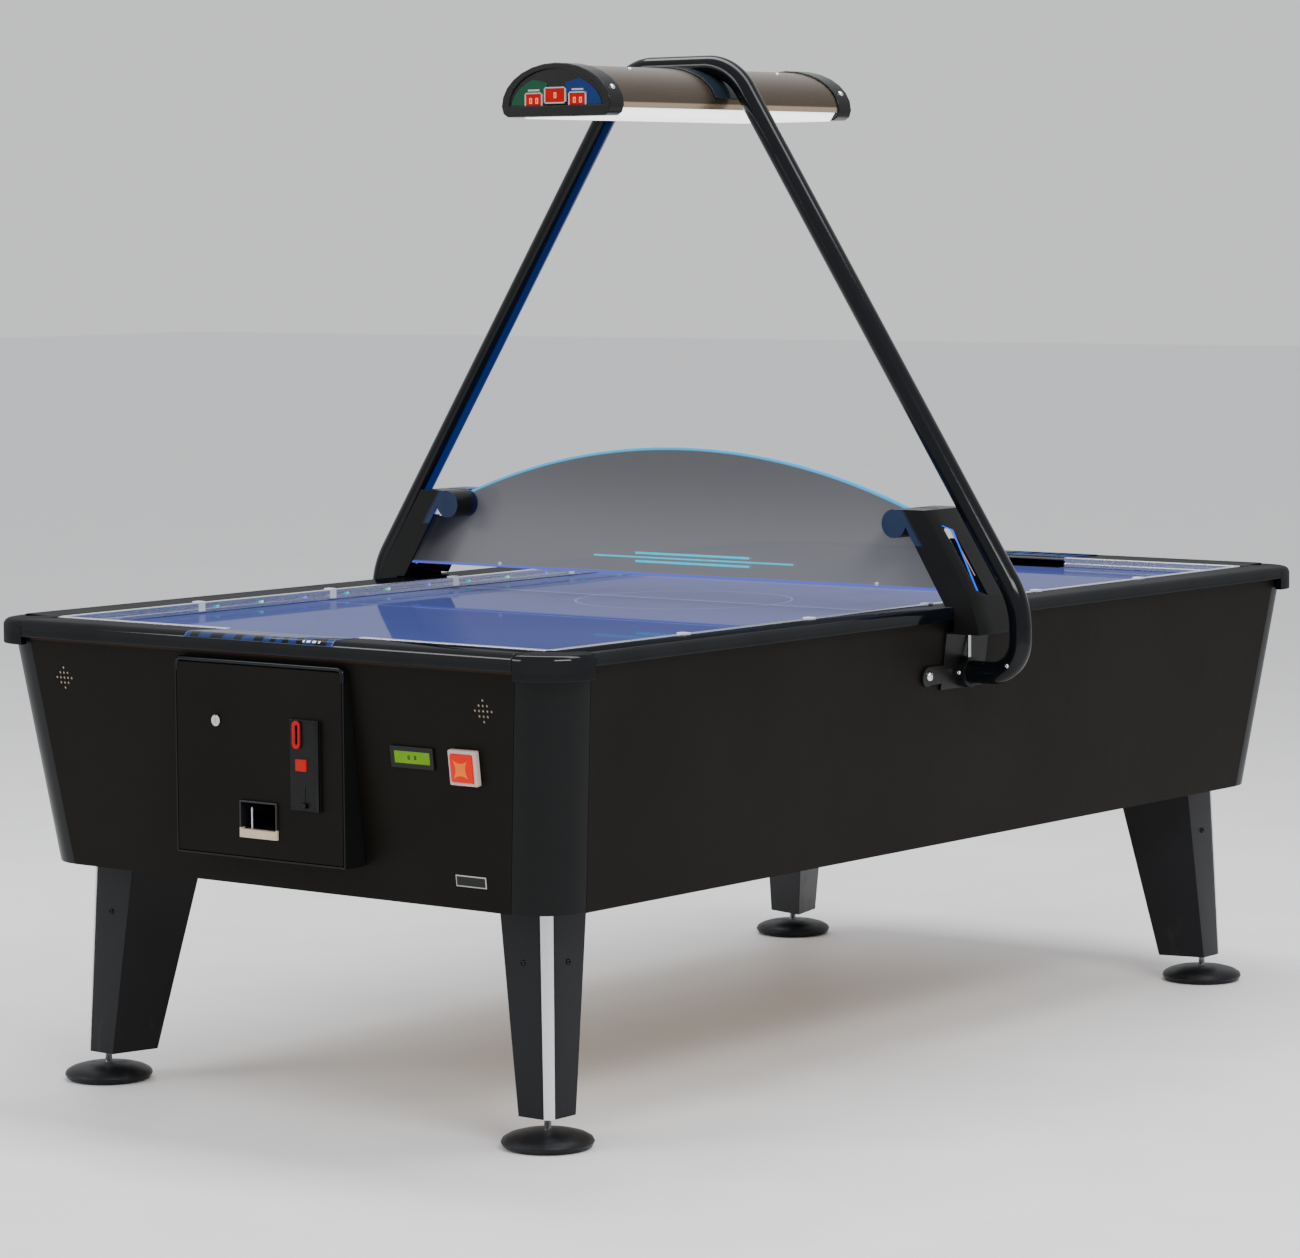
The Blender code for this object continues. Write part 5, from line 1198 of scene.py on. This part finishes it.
def slot_ring():
    bm = bmesh.new()
    ring_x = plate_x - 0.0025
    loops = []
    outside = ((0.0085, 0.0235, 0.0), (0.0080, 0.0230, 0.0022))
    inside = ((0.0045, 0.0190, 0.0022), (0.0030, 0.0165, 0.0))
    for wide, tall, lift in outside + inside:
        x = ring_x - lift
        loops.append([bm.verts.new((x, SLOT_Y + y, SLOT_Z + z)) for y, z in stadium(wide, tall)])
    for outer, inner in zip(loops, loops[1:] + loops[:1]):
        for i in range(len(outer)):
            j = (i + 1) % len(outer)
            bm.faces.new((outer[i], outer[j], inner[j], inner[i]))
    bmesh.ops.remove_doubles(bm, verts=bm.verts, dist=WELD)
    bmesh.ops.recalc_face_normals(bm, faces=bm.faces)
    piece("coin_slot_ring", bm, "reject_red", "door", angle=25.0)


slot_ring()

# %% Lever, cup rib, plate screws and keyway
lever = bmesh.new()
block(lever, (plate_x - 0.0009, -0.1065, 0.5470), (plate_x - 0.0001, -0.1045, 0.5750))
block(lever, (plate_x - 0.0055, -0.1110, 0.5370), (plate_x - 0.0001, -0.1000, 0.5450))
piece("coin_return_lever", lever, "gloss_black", "door", edge=0.0006)
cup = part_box("return_cup_front")
rib = bmesh.new()
block(rib, (DOOR_X + 0.004, 0.020, cup[0].z + 0.0150), (DOOR_X + 0.0052, 0.0222, cup[1].z - 0.012))
piece("cup_rib", rib, "clip_white", "door")
spots = []
for y in (PLATE_LOW.y + 0.010, PLATE_HIGH.y - 0.006):
    for z in (PLATE_LOW.z + 0.006, PLATE_HIGH.z - 0.006):
        spots.append(((plate_x, y, z), (-1, 0, 0)))
screws("coin_plate_screws", spots, 0.0024, 0.0011, "gloss_black", "door")
LOCK_LOW, LOCK_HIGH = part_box("door_lock")
lock_y, lock_z = (LOCK_LOW.y + LOCK_HIGH.y) / 2, (LOCK_LOW.z + LOCK_HIGH.z) / 2
keyway = bmesh.new()
low = (LOCK_LOW.x - 0.0004, lock_y - 0.0009, lock_z - 0.0045)
block(keyway, low, (LOCK_LOW.x, lock_y + 0.0009, lock_z + 0.0045))
piece("lock_keyway", keyway, "gloss_black", BODY["door_lock"])
print("door trim, slot ring, lever and keyway are set")


# %% Panel details
def on_panel(y, z, lift=0.0):
    """A point on the sloping front panel, lifted off it, and the way the panel faces."""
    out = Vector((-1.0, 0.0, -END_LEAN)).normalized()
    return Vector((-end_face(z), y, z)) + out * lift, out


def panel_plate(name, y, z, wide, tall, lift, thick, finish, edge=0.0004):
    """A thin plate lying on the front panel."""
    place, out = on_panel(y, z, lift)
    up = Vector((-END_LEAN, 0.0, 1.0)).normalized()
    side = Vector((0.0, 1.0, 0.0))
    corners = ((-1, -1), (1, -1), (1, 1), (-1, 1))
    outline = [place + side * a * wide / 2 + up * b * tall / 2 for a, b in corners]
    return piece(name, pushed(outline, out * thick), finish, edge=edge)


SPEAKER_Y, SPEAKER_Z, SPEAKER_PITCH = 0.472, 0.717, 0.0087
STUD_SHAPE = [(0.0, -0.001), (0.0029, -0.001), (0.0029, 0.0), (0.0018, 0.0013), (0.0, 0.0018)]
studs = bmesh.new()
for sign in (-1, 1):
    for row, count in enumerate((1, 3, 5, 3, 1)):
        for number in range(count):
            y = sign * SPEAKER_Y + SPEAKER_PITCH * (number - (count - 1) / 2)
            place, out = on_panel(y, SPEAKER_Z + SPEAKER_PITCH * (2 - row), -0.0022)
            turned(studs, STUD_SHAPE, place, out, 12)
bmesh.ops.recalc_face_normals(studs, faces=studs.faces)
piece("speaker_studs", studs, "stud_cloth")

panel_plate("credit_window", -0.315, 0.632, 0.078, 0.0235, 0.0020, 0.0010, "glow_green")
panel_plate("name_plate", -0.416, 0.4355, 0.064, 0.019, 0.0002, 0.0012, "print_pale")
panel_plate("name_plate_face", -0.416, 0.4355, 0.060, 0.015, 0.0014, 0.0002, "screen", edge=0.0)


# %% Mark on the start button
def start_mark():
    """A lighter square with hollow sides on the button's face."""
    low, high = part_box("start_button")
    lift = -low.x - end_face(high.z)
    place, out = on_panel((low.y + high.y) / 2, (low.z + high.z) / 2, lift + 0.0003)
    up = Vector((-END_LEAN, 0.0, 1.0)).normalized()
    outline = []
    for turn in range(4):
        for step in range(7):
            along = step / 6 * 2 - 1
            spot = (0.0145 * along, 0.0145 - 0.0045 * (1 - along * along))
            spin = math.pi / 2 * turn
            a = spot[0] * math.cos(spin) + spot[1] * math.sin(spin)
            b = spot[1] * math.cos(spin) - spot[0] * math.sin(spin)
            if step < 6:
                outline.append(place + Vector((0.0, a, 0.0)) + up * b)
    piece("start_mark", pushed(outline, out * 0.0008), "glow_amber", BODY["start_button"])


start_mark()

# %% Numbers on the display
numbers = bmesh.new()
tilt = Matrix.Translation((-end_face(0.632), 0, 0.632)) @ Matrix.Rotation(-math.atan(END_LEAN), 4, "Y")
for y in (-0.322, -0.308):
    zero(numbers, y, 0.0, 0.0055, -0.0034)
numbers.transform(tilt)
piece("credit_digits", numbers, "gloss_black")
print("front panel details are set")

# %% [markdown]
# ## Legs
# Each leg is bolted from the outside, with one dome bolt near its top on each of its two outer faces.

# %% Leg bolts
spots = []
for end_sign in ENDS.values():
    for sign in SIDES.values():
        for z in (0.300,):
            share = (0.387 - z) / (0.387 - 0.050)
            corner = 1.0856 - 0.0625 + share * 0.0115
            corner_y = 0.5788 - 0.0625 + share * 0.0115
            spots.append(((end_sign * (corner - 0.052), sign * (corner_y + 0.0002), z), (0, sign, 0)))
            spots.append(((end_sign * (corner + 0.0002), sign * (corner_y - 0.052), z), (end_sign, 0, 0)))
screws("leg_bolts", spots, 0.0050, 0.0028, "gloss_black")
print("leg bolts:", len(spots))

# %% [markdown]
# ## Studio
# The floor and the surroundings are nearly white, as on a plain photo stage. Three large soft lamps
# give the rails and the tube their long highlights. The floor isn't part of the table, so it is marked
# as stage.

# %% Floor, world and lamps
surface("stage_floor", (0.86, 0.86, 0.87), 0.55, spread=0.01, grain=60.0, bump=0.02)
ground = bmesh.new()
bmesh.ops.create_grid(ground, x_segments=24, y_segments=24, size=40.0)
floor_mesh = bpy.data.meshes.new("studio_floor")
ground.to_mesh(floor_mesh)
ground.free()
floor_mesh.materials.append(FINISH["stage_floor"])
studio_floor = bpy.data.objects.new("studio_floor", floor_mesh)
studio_floor.location.z = CAD_BOX[0].z - 0.0005
scene.collection.objects.link(studio_floor)
studio_floor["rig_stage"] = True

world = bpy.data.worlds.new("studio")
world.use_nodes = True
world.node_tree.nodes["Background"].inputs["Color"].default_value = (0.97, 0.98, 1.0, 1.0)
world.node_tree.nodes["Background"].inputs["Strength"].default_value = 0.85
scene.world = world


def soft_lamp(name, place, aim, size, power):
    light = bpy.data.lights.new(name, "AREA")
    light.shape = "RECTANGLE"
    light.size, light.size_y = size
    light.energy = power
    lamp = bpy.data.objects.new(name, light)
    lamp.location = place
    lamp.rotation_euler = (Vector(aim) - Vector(place)).to_track_quat("-Z", "Y").to_euler()
    scene.collection.objects.link(lamp)


soft_lamp("key", (-2.5, -4.5, 4.2), (0, 0, 0.8), (3.0, 1.2), 190.0)
soft_lamp("fill", (-5.0, 3.0, 3.2), (0, 0, 0.6), (2.5, 1.2), 90.0)
soft_lamp("top", (0.5, 0.0, 5.0), (0, 0, 0.8), (6.0, 1.5), 260.0)
print("studio is lit")

# %% [markdown]
# ## The dressed size
# The dressed table has to fill the same box as the packed one. Its size is printed here; the packed size
# was printed at the start.

# %% Print the dressed size
low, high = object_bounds()
print("visual size:", [round(side, 4) for side in high - low])
